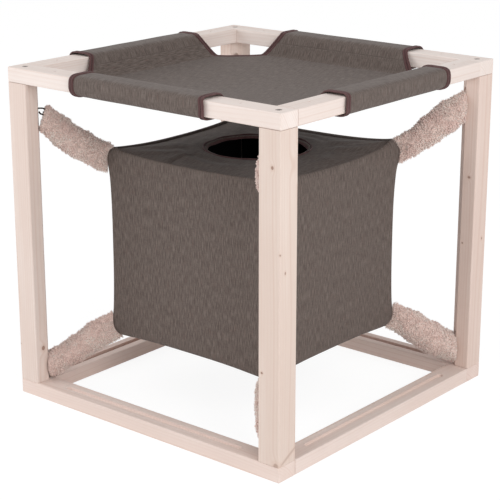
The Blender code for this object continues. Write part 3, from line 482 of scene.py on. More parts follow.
def build(name, patches, materials, weld=0.0):
    """Puts patches into one mesh object, and welds its poles and seams where weld is set."""
    starts = np.cumsum([0] + [len(p["points"]) for p in patches[:-1]])
    points = np.concatenate([p["points"] for p in patches])
    faces = np.concatenate([p["faces"] + s for p, s in zip(patches, starts)])
    mesh = bpy.data.meshes.new(name)
    mesh.from_pydata(points.tolist(), [], faces.tolist())
    cloth = mesh.uv_layers.new(name="cloth")
    cloth.data.foreach_set("uv", np.concatenate([p["cloth"] for p in patches]).astype(np.float32).ravel())
    slots = np.concatenate([np.full(len(p["faces"]), p["slot"]) for p in patches])
    mesh.polygons.foreach_set("material_index", slots.astype(np.int32))
    if weld:
        work = bmesh.new()
        work.from_mesh(mesh)
        bmesh.ops.remove_doubles(work, verts=work.verts, dist=weld)
        work.to_mesh(mesh)
        work.free()
    return into_scene(name, mesh, materials)


def normals_of(points):
    """A normal for each point of a grid whose last column lies on its first."""
    down = np.gradient(points, axis=0)
    ring = points[:, :-1]
    over = np.roll(ring, -1, axis=1) - np.roll(ring, 1, axis=1)
    over = np.concatenate((over, over[:, :1]), axis=1)
    return unit(np.cross(over, down))


def tube(path, radius, sides=12):
    """A round section carried along a path: each ring is the path's point plus the radius times
    the cosine and sine of an angle across it."""
    path = np.asarray(path, float)
    ahead = unit(np.gradient(path, axis=0))
    start = np.cross(ahead[0], (0.0, 0.0, 1.0))
    first = np.zeros_like(path)
    first[0] = unit(start if np.linalg.norm(start) > 1e-6 else np.array((1.0, 0.0, 0.0)))
    for k in range(1, len(path)):
        carried = first[k - 1] - ahead[k] * (first[k - 1] @ ahead[k])
        first[k] = unit(carried)
    second = np.cross(ahead, first)
    angle = np.linspace(0, 2 * np.pi, sides + 1)
    ring = (np.cos(angle)[None, :, None] * first[:, None] + np.sin(angle)[None, :, None] * second[:, None])
    run = run_along(path)
    cloth = joined(run[:, None], angle[None, :] * radius)
    return path[:, None] + ring * radius, cloth


def waves(u, v, seed, count=7, low=6.0, high=30.0):
    """A gentle unevenness: a sum of plane waves with fixed directions, lengths and phases."""
    random = np.random.default_rng(seed)
    total = np.zeros(np.broadcast(u, v).shape)
    for _ in range(count):
        turn, phase = random.uniform(0, 2 * np.pi, 2)
        rate = random.uniform(low, high)
        total += np.sin(rate * 2 * np.pi * (u * np.cos(turn) + v * np.sin(turn)) + phase) * (low / rate)
    return total / math.sqrt(count)


def side_turn(points, side):
    """Turns points of the front side by quarter turns to another side."""
    angle = side * math.pi / 2
    x = points[..., 0] * math.cos(angle) - points[..., 1] * math.sin(angle)
    y = points[..., 0] * math.sin(angle) + points[..., 1] * math.cos(angle)
    return joined(x, y, points[..., 2])


# Cave
def drawn_out(height, corner):
    """How far the straps draw a corner out: at each strap, a narrow and a wide bell curve."""
    total = 0.0
    for pull, seat in zip(CORNER_PULLS[corner], STRAP_SEATS):
        total = total + pull * (0.5 * bell(height - seat, 0.018)
                                + 0.5 * bell(height - seat, 0.052))
    return total


def cave_columns():
    """Places along a side from corner to corner: -1 to 1 on the flat and up to 2 in the middle of
    a round corner, closer together towards the corners."""
    arc = np.linspace(0, 1, 8)
    flat = np.sin(np.linspace(-1, 1, 65) * 1.29) / math.sin(1.29)
    return np.concatenate((-1 - arc[:0:-1], flat, 1 + arc[1:]))


def cave_plan(s, height, inset, side):
    """The plan of a side at a height: a straight run whose ends are drawn out by the fourth power
    of the distance from the middle, and half of a round corner at each end."""
    corners = list(CORNERS)
    pull = np.where(s < 0, drawn_out(height, corners[side]), drawn_out(height, corners[(side + 1) % 4]))
    radius = np.maximum(CAVE_CORNER - inset, LEAST_CORNER)
    centre = CAVE_HALF + pull - inset - radius
    flat = np.clip(s, -1, 1)
    turn = clamped(np.abs(s) - 1) * math.pi / 4
    x = flat * centre + np.sign(s) * radius * np.sin(turn)
    out = np.where(turn > 0, centre + radius * np.cos(turn), CAVE_HALF + pull * np.abs(flat) ** 4 - inset)
    return joined(x, -out, height)


def eased(s, middle, corner):
    """A measure that goes from its value in the middle of a side to its value at the corners."""
    return middle + (corner - middle) * clamped(np.abs(s)) ** 9


def cave_edge(s, shape, side, top):
    """The height of the top or bottom edge: slack in the middle and drawn out at the corners."""
    flat = np.clip(s, -1, 1)
    if top:
        slack = (1 - np.abs(flat) ** 2.4) * (1 + TOP_EDGES[side][1] * flat)
        lift = np.where(s < 0, CORNER_LIFTS[side], CORNER_LIFTS[(side + 1) % 4]) * np.abs(flat) ** 5
        return CAVE_TOP + lift - TOP_EDGES[side][0] * shape.top_sag / TOP_SAG * slack
    return CAVE_BOTTOM + BOTTOM_RISE * (1 - np.abs(flat) ** 3)


def top_roll(s, side):
    return eased(s, TOP_EDGES[side][2], TOP_ROLL[0]), eased(s, TOP_EDGES[side][3], TOP_ROLL[1])


def corner_plan(height, corner):
    """A corner's half width and its rounding at a height, from its pulls and its rolled ends."""
    up = np.clip((height - CAVE_TOP + TOP_ROLL[1]) / TOP_ROLL[1], 0, 0.999)
    down = np.clip((CAVE_BOTTOM + FOOT_ROLL[1] - height) / FOOT_ROLL[1], 0, 0.999)
    inset = TOP_ROLL[0] * (1 - np.sqrt(1 - up ** 2)) + FOOT_ROLL[0] * (1 - np.sqrt(1 - down ** 2))
    return CAVE_HALF + drawn_out(height, corner) - inset, np.maximum(CAVE_CORNER - inset, LEAST_CORNER)


def cave_wall(side, shape):
    """One side panel: the plan at each height, drawn in by a quarter ellipse at its bottom edge
    and at its top edge, where it turns over into a lip. Soft pleats fan out from the straps."""
    s = cave_columns()[None, :]
    low, high = cave_edge(s, shape, side, False), cave_edge(s, shape, side, True)
    foot_in, foot_up = eased(s, FOOT_IN, FOOT_ROLL[0]), eased(s, shape.bottom_roll, FOOT_ROLL[1])
    head_in, head_up = top_roll(s, side)
    turn = np.linspace(math.pi / 2, 0, 13)[:, None]
    heights = [low + foot_up * (1 - np.sin(turn))]
    insets = [foot_in * (1 - np.cos(turn))]
    share = np.linspace(0, 1, 66)[1:-1, None]
    heights.append((low + foot_up) * (1 - share) + (high - head_up) * share)
    insets.append(np.zeros_like(share * s))
    turn = turn[::-1]
    heights.append(high - head_up * (1 - np.sin(turn)))
    insets.append(head_in * (1 - np.cos(turn)))
    for step_in, step_down in ((0.0008, 0.0001), (0.0013, 0.0006), (0.0016, 0.0014), (0.0017, 0.0046)):
        heights.append(high - step_down)
        insets.append(head_in + step_in)
    height = np.concatenate(heights)
    inset = np.concatenate(insets) + 0.0007 * bell(2 - np.abs(s), 0.22)
    points = cave_plan(s, height, inset, side)
    x = points[..., 0]
    calm = (clamped((high - height) / 0.02) * clamped((height - low) / 0.02)
            * clamped((1 - np.abs(s)) / 0.12))
    uneven = waves(x, height, 11 + side, 7, 4.0, 18.0) * 0.0005
    for seat in STRAP_SEATS:
        for sign in (-1, 1):
            across, up = CAVE_HALF - sign * x, height - seat
            reach = np.hypot(across, up)
            fan = np.cos(6 * np.arctan2(up, across + 0.004) + side + sign)
            uneven = uneven + fan * 0.0009 * np.exp(-reach / 0.040) * clamped(across / 0.02)
    crease = bell(height - low - 0.024 - 0.004 * np.sin(17 * x + side), 0.0045)
    uneven = uneven - 0.0008 * crease * (0.55 + 0.45 * np.sin(23 * x + 2 * side))
    crease = bell(high - height - 0.0125, 0.0030)
    uneven = uneven - (0.0007 if side == 1 else 0.0002) * crease
    points[..., 1] -= uneven * calm
    return side_turn(points, side), joined(x + 0.37 * side, height)


def cave_ring(extra, drop, shape, top):
    """The whole outline of the top or the floor, side after side, inside the walls' edges."""
    s = cave_columns()
    sides = []
    for side in range(4):
        height = cave_edge(s, shape, side, top)
        inset = (top_roll(s, side)[0] if top else eased(s, FOOT_IN, FOOT_ROLL[0])) + extra
        plan = cave_plan(s, height, inset, side)
        plan[:, 2] -= drop
        sides.append(side_turn(plan, side)[:-1])
    ring = np.concatenate(sides)
    return np.concatenate((ring, ring[:1]))


def cave_top(shape):
    """The top panel: from under the walls' lip to the mouth's rim its height eases from the drawn
    up edge to the mouth, with shallow folds from the corners and round the mouth."""
    rim = cave_ring(0.0014, 0.0022, shape, True)
    far = clamped((rim[:, 1] - rim[:, 0]) / 0.10)
    rim[:, 2] -= 0.0014 * far
    centre = np.array(MOUTH_CENTRE)
    away = rim[:, :2] - centre
    inner = centre + unit(away) * (MOUTH_RADIUS + 0.002)
    mouth = np.column_stack((inner, np.full(len(inner), MOUTH_Z)))
    share = np.concatenate((np.linspace(0, 0.1, 8)[:-1], np.linspace(0.1, 1, 46)))[:, None, None]
    field = rim[None] * (1 - share) + mouth[None] * share
    left = (1 - share[..., 0]) ** 1.8
    rise = rim[None, :, 2] * left + MOUTH_Z * (1 - left)
    x, y = field[..., 0] - centre[0], field[..., 1] - centre[1]
    reach, angle = np.hypot(x, y), np.arctan2(y, x)
    diagonal = np.abs(np.abs(x) - np.abs(y)) / math.sqrt(2)
    open_ground = np.sin(np.pi * clamped(share[..., 0])) ** 0.7
    fold = -bell(diagonal, 0.009) + 0.7 * bell(diagonal - 0.020, 0.009)
    fold = fold * clamped((reach - 0.085) / 0.03)
    round_mouth = np.sin((reach - 0.080) * 2 * np.pi / 0.034 + 0.8 * np.sin(3 * angle + 1.0))
    round_mouth = round_mouth * bell(reach - 0.105, 0.022) * (0.5 + 0.5 * np.sin(2 * angle - 0.6))
    spokes = bell(np.mod(angle * 9 / (2 * np.pi) + 0.3, 1) - 0.5, 0.11)
    spokes = spokes * bell(reach - 0.125, 0.025)
    field[..., 2] = rise + open_ground * (shape.fold_depth * (fold + 0.8 * round_mouth + 0.7 * spokes)
                                          + 0.0004 * waves(x, y, 5))
    # One deep crease curves from the front edge to the mouth, with a ridge on its left.
    side_step = field[..., 0] + 0.0427 - 6.0 * (field[..., 1] + 0.118) ** 2
    crease = 0.0009 * bell(side_step + 0.011, 0.008) - 0.0020 * bell(side_step, 0.0036)
    span = clamped((field[..., 1] + 0.149) / 0.008) * clamped((-0.082 - field[..., 1]) / 0.012)
    field[..., 2] += crease * span
    field[..., 2] -= 0.0012 * np.exp(-share[..., 0] / 0.02)
    return field, field[..., :2].copy()


def cave_floor(shape):
    """The floor panel: level in the middle and drawn down to its corners."""
    rim = cave_ring(-0.0002, 0.0, shape, False)
    share = np.linspace(0, 1, 26)[:, None, None]
    field = rim[None] * (1 - share)
    left = (1 - share[..., 0]) ** 3
    field[..., 2] = rim[None, :, 2] * left + (CAVE_BOTTOM + BOTTOM_RISE) * (1 - left)
    return field, field[..., :2].copy()


def binding_section(width, thickness):
    """A binding's section as a closed loop: how far it reaches in from the edge and its lift
    from the cloth's middle. Two padded ridges run along it with the stitched groove between,
    and its back is flatter."""
    over = np.linspace(0, 1, 21)
    ridge = bell(over - 0.25, 0.15) + bell(over - 0.76, 0.14)
    nose = np.sqrt(np.maximum(0.0, 1 - clamped((0.16 - over) / 0.16) ** 2))
    heel = np.sqrt(np.maximum(0.0, 1 - clamped((over - 0.93) / 0.07) ** 2))
    half = thickness / 2 * (0.55 + 0.48 * ridge) * nose * heel
    return np.concatenate((over, over[-2::-1])) * width, np.concatenate((half, -0.4 * half[-2::-1]))


def mouth_binding():
    """The mouth's binding: its section turned round the hole, leaning down a little inwards."""
    angle = np.linspace(0, 2 * np.pi, 181)[:, None]
    across, lift = binding_section(MOUTH_BAND, MOUTH_BINDING)
    radius = MOUTH_RADIUS + across[None, :]
    wander = 0.0004 * np.sin(5 * angle + 1) + 0.0003 * np.sin(11 * angle)
    x = MOUTH_CENTRE[0] + np.cos(angle) * (radius + wander)
    y = MOUTH_CENTRE[1] + np.sin(angle) * (radius + wander)
    z = MOUTH_Z + lift[None, :] - 0.0046 * (1 - across[None, :] / MOUTH_BAND) ** 1.3 + wander
    cloth = joined(angle * MOUTH_RADIUS, across[None, :])
    return joined(x, y, z), cloth


# Hammock
def flap_table():
    """The flap's profile as a smooth line, with its length from the bed's edge."""
    knots = np.array(FLAP_PROFILE)
    place = np.linspace(0, len(knots) - 1, 200)
    k = np.clip(place.astype(int), 0, len(knots) - 2)
    t = (place - k)[:, None]
    padded = np.concatenate((2 * knots[:1] - knots[1:2], knots, 2 * knots[-1:] - knots[-2:-1]))
    a, b, c, d = padded[k], padded[k + 1], padded[k + 2], padded[k + 3]
    line = 0.5 * (2 * b + (c - a) * t + (2 * a - 5 * b + 4 * c - d) * t ** 2
                  + (3 * b - a - 3 * c + d) * t ** 3)
    run = run_along(line)
    return run, line[:, 0], line[:, 1]


FLAP_RUN, FLAP_INSET, FLAP_HEIGHT = flap_table()
BED_HALF = RAIL_INNER - BED_INSET
CUT_REACH = BED_HALF + FLAP_RUN[-1]
CUT_SIDE = 0.131
CUT_TURN = math.radians(12.5)


def fold(c):
    """The cloth's way from the bed to the stitched line: level up to the bed's edge, then up the
    flap's profile. Gives the distance from the middle and the rise."""
    over = np.clip(np.abs(c) - BED_HALF, 0, FLAP_RUN[-1])
    out = np.minimum(np.abs(c), BED_HALF) + BED_INSET - np.interp(over, FLAP_RUN, FLAP_INSET)
    beyond = np.clip(np.abs(c) - CUT_REACH, 0, None)
    return np.sign(c) * out, np.interp(over, FLAP_RUN, FLAP_HEIGHT) - BED_Z + beyond


def on_cloth(a, b, sag):
    """Where a place of the flat cut cloth lies once it is hung: folded up at each rail, sagging
    as the product of two parabolas, with soft lines drawn from corner to corner."""
    x, rise_x = fold(a)
    y, rise_y = fold(b)
    across = clamped(1 - (x / BED_HALF) ** 2)
    along = clamped(1 - (y / BED_HALF) ** 2)
    uneven = waves(a, b, 3, 6, 3.0, 9.0) * 0.0007 * np.sqrt(across * along)
    drawn = bell(np.abs(a) - np.abs(b), 0.018) * clamped((np.abs(a) - 0.07) / 0.06)
    z = BED_Z + rise_x + rise_y - sag * across * along + uneven + 0.0012 * drawn * np.sqrt(across * along)
    return joined(x, y, z)


def cloth_normal(a, b, sag):
    """The upper side's normal of the hung cloth, from two small steps on the flat one."""
    step = 0.0004
    du = on_cloth(a + step, b, sag) - on_cloth(a - step, b, sag)
    dv = on_cloth(a, b + step, sag) - on_cloth(a, b - step, sag)
    return unit(np.cross(du, dv))


def corner_cut(share):
    """A cut out corner on the flat cloth, back right: an arc from one sleeve's end to the next,
    hollow towards the corner. Gives the place and the direction into the cloth."""
    chord = (CUT_REACH - CUT_SIDE) * math.sqrt(2)
    radius = chord / (2 * math.sin(CUT_TURN))
    middle = (CUT_REACH + CUT_SIDE) / 2 + radius * math.cos(CUT_TURN) / math.sqrt(2)
    turn = math.pi / 4 + (share - 0.5) * 2 * CUT_TURN
    inward = joined(-np.cos(turn), -np.sin(turn))
    return np.array((middle, middle)) + radius * inward, inward


def hammock_outline():
    """The flat cloth's edge all round: a straight run under each rail, a hollow arc at each
    corner. Starts at the right side's run."""
    run = np.linspace(-CUT_SIDE, CUT_SIDE, 45)[:-1]
    straight = joined(np.full_like(run, CUT_REACH), run)
    arc = corner_cut(np.linspace(0, 1, 33)[:-1])[0]
    arc = arc if arc[0, 0] > arc[0, 1] else arc[::-1]
    quarter = np.concatenate((straight, arc))
    turns = []
    for k in range(4):
        c, s = round(math.cos(k * math.pi / 2)), round(math.sin(k * math.pi / 2))
        turns.append(joined(quarter[:, 0] * c - quarter[:, 1] * s, quarter[:, 0] * s + quarter[:, 1] * c))
    outline = np.concatenate(turns)
    return np.concatenate((outline, outline[:1]))


def hammock_sheet(sag):
    """The bed and its flaps as one cloth: the outline scaled from the middle outwards, each
    place then hung by the function above."""
    scales = np.concatenate((np.linspace(0, 0.85, 34), np.linspace(0.857, 1, 32)))
    flat = hammock_outline()[None] * scales[:, None, None]
    return on_cloth(flat[..., 0], flat[..., 1], sag), flat


def corner_binding(sign_x, sign_y, sag):
    """The binding of one cut out corner: its section carried along the cut, lifted from the
    hung cloth along its normal."""
    share = np.linspace(-0.02, 1.02, 71)
    edge, inward = corner_cut(share)
    across, lift = binding_section(BINDING_WIDTH, BINDING_THICKNESS)
    place = edge[:, None] + inward[:, None] * (across - BINDING_OVERHANG)[None, :, None]
    a, b = place[..., 0] * sign_x, place[..., 1] * sign_y
    points = on_cloth(a, b, sag) + cloth_normal(a, b, sag) * lift[None, :, None]
    run = run_along(edge)
    return points, joined(run[:, None], across[None, :])


def sleeve_section(grown):
    """A sleeve's section round the rail: a squared ellipse outside, tighter above than below,
    and inside a nose that narrows evenly to the stitched line. Gives outward and upward places
    at even steps, from the nose over the top."""
    angle = np.linspace(0, 2 * np.pi, 4001)
    cos, sin = np.cos(angle), np.sin(angle)
    wide = np.where(cos > 0, TIMBER / 2 + SLEEVE_FACE, TIMBER / 2 + SLEEVE_BACK)
    high = RAIL_THICKNESS / 2 + np.where(sin > 0, SLEEVE_FACE, SLEEVE_FACE + 0.0008)
    power = 2 / np.where(cos > 0, np.where(sin > 0, 5.2, 3.1), 4.5)
    out = np.sign(cos) * np.abs(cos) ** power * wide
    up = np.sign(sin) * np.abs(sin) ** power * high
    nose = (SLEEVE_NOSE - SLEEVE_BACK) * clamped(1 - np.abs(up + 0.002) / 0.0130) ** 1.1 * (cos < 0)
    ring = joined(out - nose, up)[:-1]
    ring = np.roll(ring, -int(ring[:, 0].argmin()), axis=0)[::-1]
    ring = np.concatenate((ring[-1:], ring))
    run = run_along(ring)
    place = np.linspace(0, run[-1], 133)
    ring = np.stack([np.interp(place, run, ring[:, k]) for k in range(2)], axis=-1)
    if grown:
        ahead = unit(np.roll(ring[:-1], -1, axis=0) - np.roll(ring[:-1], 1, axis=0))
        ahead = np.concatenate((ahead, ahead[:1]))
        ring = ring + grown * joined(-ahead[:, 1], ahead[:, 0])
    return ring


def sleeve_reach(ring, side, end):
    """How far a sleeve's end lies from the rail's middle: bowed outwards on the rail's outer
    face, and running out to meet the cut out corner on the inside."""
    half = SLEEVE_ENDS[side][0 if end < 0 else 1]
    inner = clamped((-ring[:, 0] - TIMBER / 2 - 0.0012) / (SLEEVE_NOSE - 0.0012))
    bow = 0.0030 * clamped(ring[:, 0] / 0.02) * (1 - clamped(np.abs(ring[:, 1]) / 0.015) ** 2)
    return half + bow + (CUT_SIDE - half) * inner ** 1.3


def on_rail(x, out, up, side):
    """A place given along, out from and up from a rail's middle line, on one of the sides."""
    points = joined(x, -(HALF_FRAME - TIMBER / 2 + out), FRAME_TOP - RAIL_THICKNESS / 2 + up)
    return side_turn(points, side)


def sleeve(side):
    """A sleeve: its section carried along the rail, ending just inside its bindings."""
    ring = sleeve_section(0.0)
    around = run_along(ring)
    share = np.linspace(-1, 1, 75)[:, None]
    along = np.where(share < 0, share * (sleeve_reach(ring, side, -1) - 0.0015)[None, :],
                     share * (sleeve_reach(ring, side, 1) - 0.0015)[None, :])
    swell = 1 + waves(along, around[None, :], 31 + side, 6, 8.0, 26.0) * 0.010
    swell = swell - 0.010 * bell(np.abs(share) - 0.94, 0.03)
    cloth = joined(along + 0.6 * side, around[None, :])
    return on_rail(along, ring[None, :, 0] * swell, ring[None, :, 1] * swell, side), cloth


def sleeve_binding(side, end):
    """The binding round a sleeve's end: its section carried round the rail."""
    across, lift = binding_section(BINDING_WIDTH, BINDING_THICKNESS)
    base, grown = sleeve_section(0.0), sleeve_section(OFF_CLOTH)
    outward = (grown - base) / OFF_CLOTH
    x = end * (sleeve_reach(base, side, end)[:, None] + BINDING_OVERHANG - across[None, :])
    place = base[:, None] + outward[:, None] * (lift - 0.0002)[None, :, None]
    cloth = joined(run_along(base)[:, None], across[None, :])
    return on_rail(x, place[..., 0], place[..., 1], side), cloth


def stitch_row(path, up, slot=0):
    """A row of stitches: each is a short six sided thread that dips into the cloth at both ends.
    They are spaced evenly along the path, and lifted along the cloth's normal."""
    run = run_along(path)
    count = max(2, int(run[-1] / STITCH_SPACING))
    middle = (np.arange(count) + 0.5) * run[-1] / count
    sides, rows = 6, 5
    u = np.linspace(-0.5, 0.5, rows)
    place = middle[:, None] + u[None, :] * STITCH_LENGTH
    centre = np.stack([np.interp(place, run, path[:, k]) for k in range(3)], axis=-1)
    lift = np.stack([np.interp(place, run, up[:, k]) for k in range(3)], axis=-1)
    lift = unit(lift)
    ahead = unit(np.gradient(centre, axis=1))
    beside = np.cross(ahead, lift)
    round_off = np.sqrt(np.maximum(0.0, 1 - (2 * u) ** 2))[None, :, None, None]
    angle = np.linspace(0, 2 * np.pi, sides, endpoint=False)[None, None, :, None]
    dip = (0.55 * THREAD * (1 - 5 * u ** 2))[None, :, None, None]
    ring = lift[:, :, None] * np.sin(angle) + beside[:, :, None] * np.cos(angle)
    points = centre[:, :, None] + lift[:, :, None] * dip + ring * round_off * THREAD / 2
    base = np.arange(count)[:, None] * rows * sides
    r, k = np.meshgrid(np.arange(rows - 1), np.arange(sides), indexing="ij")
    r, k = r.ravel(), k.ravel()
    n = (k + 1) % sides
    quad = np.stack((r * sides + k, r * sides + n, (r + 1) * sides + n, (r + 1) * sides + k), axis=1)
    faces = (base[:, :, None] + quad[None]).reshape(-1, 4)
    cloth = np.zeros((len(faces) * 4, 2))
    return {"points": points.reshape(-1, 3), "faces": faces, "slot": slot, "cloth": cloth}


def binding_stitches(points):
    """The stitches in a binding's groove, from that column of its grid and the grid's normals."""
    return stitch_row(points[:, GROOVE_COLUMN], normals_of(points)[:, GROOVE_COLUMN], slot=1)


def sleeve_stitches(side):
    """The seam that closes a sleeve: stitches a little above its nose, along the rail."""
    base, grown = sleeve_section(0.0), sleeve_section(OFF_CLOTH)
    x = np.linspace(-0.122, 0.122, 90)
    ends = [on_rail(x, np.full_like(x, ring[2, 0]), np.full_like(x, ring[2, 1]), side)
            for ring in (base, grown)]
    return stitch_row(ends[0], ends[1] - ends[0])


# Straps
# Each strap's half width and how far its middle hangs below the straight line, in millimetres,
# at the hook, at 0.3, 0.5 and 0.7 of its length and at the cave.
STRAP_STATIONS = (0.0, 0.3, 0.5, 0.7, 1.0)
STRAP_FORMS = {
    ("front_left", True): ((19.0, 19.5, 20.0, 19.5, 19.0), (5.5, 7.5, 7.5, 5.5, 1.5)),
    ("front_right", True): ((20.0, 20.5, 20.0, 18.0, 18.5), (3.0, 3.5, 3.5, 2.0, 0.0)),
    ("back_right", True): ((20.5, 21.0, 20.3, 17.5, 18.0), (6.5, 3.5, 1.8, 1.5, -1.0)),
    ("back_left", True): ((20.0, 19.5, 20.0, 18.5, 18.5), (3.5, 4.0, 4.0, 2.0, 0.0)),
    ("front_left", False): ((18.5, 18.0, 19.0, 20.0, 18.5), (5.5, 5.5, 4.5, 2.5, 0.0)),
    ("front_right", False): ((20.5, 21.5, 20.5, 20.0, 19.5), (2.0, 3.0, 3.0, 1.5, 0.0)),
    ("back_right", False): ((21.5, 23.0, 22.3, 20.5, 17.0), (1.0, 3.4, 2.0, 0.0, -1.5)),
    ("back_left", False): ((20.0, 21.0, 20.0, 20.5, 19.5), (2.5, 3.0, 2.5, 1.5, 0.0)),
}


def strap_ends(corner, upper):
    """The middle of the screw hook's ring, and the place on the cave's corner."""
    sign = np.array(CORNERS[corner] + (0,), float)
    seat, ring_z = (STRAP_SEATS[0], RING_HEIGHTS[0]) if upper else (STRAP_SEATS[1], RING_HEIGHTS[1])
    half, rounding = corner_plan(np.array(seat), corner)
    up = np.array((0.0, 0.0, 1.0))
    return sign * RING_REACH + up * ring_z, sign * (half - rounding * (1 - math.sqrt(0.5))) + up * seat


def keep_clear(points, corner, cave_gap, post_gap):
    """Moves what would lie in the cave, or in the post's chamfer, along the corner's diagonal."""
    sign_x, sign_y = CORNERS[corner]
    x, y, z = points[..., 0] * sign_x, points[..., 1] * sign_y, points[..., 2]
    half, rounding = corner_plan(z, corner)
    qx, qy = np.abs(x) - half + rounding, np.abs(y) - half + rounding
    away = np.hypot(np.maximum(qx, 0), np.maximum(qy, 0)) + np.minimum(np.maximum(qx, qy), 0) - rounding
    shift = np.clip(cave_gap - away, 0, 0.03) * clamped((CAVE_TOP + 0.004 - z) / 0.004)
    x, y = x + shift, y + shift
    over = np.clip((x + y) / 2 - (CHAMFER_REACH - post_gap / math.sqrt(2)), 0, None)
    return joined((x - over) * sign_x, (y - over) * sign_y, z)


def strap_core(corner, upper, seed, ring_shown):
    """The strap's stuffed cover. At the post it is an open cuff round the hook: up the inside,
    over a lip and along the outside. From there a round section hangs below the line from hook
    to cave, gently lumpy, and it flattens into the upright seam and follows the cave's corner."""
    start, end = strap_ends(corner, upper)
    length = np.linalg.norm(end - start)
    ahead = (end - start) / length
    across = unit(np.cross((0.0, 0.0, 1.0), ahead))
    above = np.cross(ahead, across)
    first = 0.0078 if ring_shown else -0.0085
    inside = np.linspace(0.017, 0.002, CUFF_ROWS)
    lip = np.linspace(-math.pi / 2, math.pi / 2, 7)[1:-1]
    outside = np.linspace(0.002, length - first - 0.0004, COVER_ROWS)
    station = first + np.concatenate((inside, 0.002 - 0.002 * np.cos(lip), outside))
    depth = np.concatenate((np.zeros(CUFF_ROWS), (np.sin(lip) + 1) / 2, np.ones(COVER_ROWS)))
    random = np.random.default_rng(seed)
    phase = random.uniform(0, 2 * np.pi, 4)
    share = clamped(station / length)
    halves, hangs = STRAP_FORMS[(corner, upper)]
    lumps = (0.0007 * np.cos(2 * np.pi * station / 0.034 + phase[0])
             + 0.0005 * np.cos(2 * np.pi * station / 0.017 + phase[1])) * clamped(station / 0.01)
    full = np.polyval(np.polyfit(STRAP_STATIONS, halves, 3), share) / 1000
    tuck = 1 - 0.05 * clamped(1 - (station - first) / 0.012)
    reach = CUFF_REACH + (full * tuck + lumps - CUFF_REACH) * depth
    seam = clamped((share - 0.60) / 0.40) ** 1.6
    wide = reach * (1 - 0.80 * seam)
    lean = clamped(0.6 * (1 - share) ** 2 + seam)
    tall = above[None] * (1 - lean)[:, None] + np.array((0.0, 0.0, 1.0))[None] * lean[:, None]
    hang = np.polyval(np.polyfit(STRAP_STATIONS, hangs, 3), share) / 1000
    centre = start + ahead[None] * station[:, None] - above[None] * hang[:, None]
    angle = np.linspace(0, 2 * np.pi, 45)
    swell = 1 + 0.025 * np.sin(3 * angle[None, :] + station[:, None] * 90 + phase[2])
    swell = swell + 0.015 * np.sin(5 * angle[None, :] - station[:, None] * 160 + phase[3])
    points = (centre[:, None]
              + across[None, None] * (wide[:, None] * swell * np.cos(angle)[None, :])[..., None]
              + tall[:, None] * (reach[:, None] * swell * np.sin(angle)[None, :])[..., None])
    half, rounding = corner_plan(points[..., 2], corner)
    level, flat = corner_plan(end[2], corner)
    hug = (half - rounding * CORNER_SHARE) - (level - flat * CORNER_SHARE)
    blend = clamped((share - 0.66) / 0.34) ** 1.5
    points[..., 0] += CORNERS[corner][0] * hug * blend[:, None]
    points[..., 1] += CORNERS[corner][1] * hug * blend[:, None]
    return points


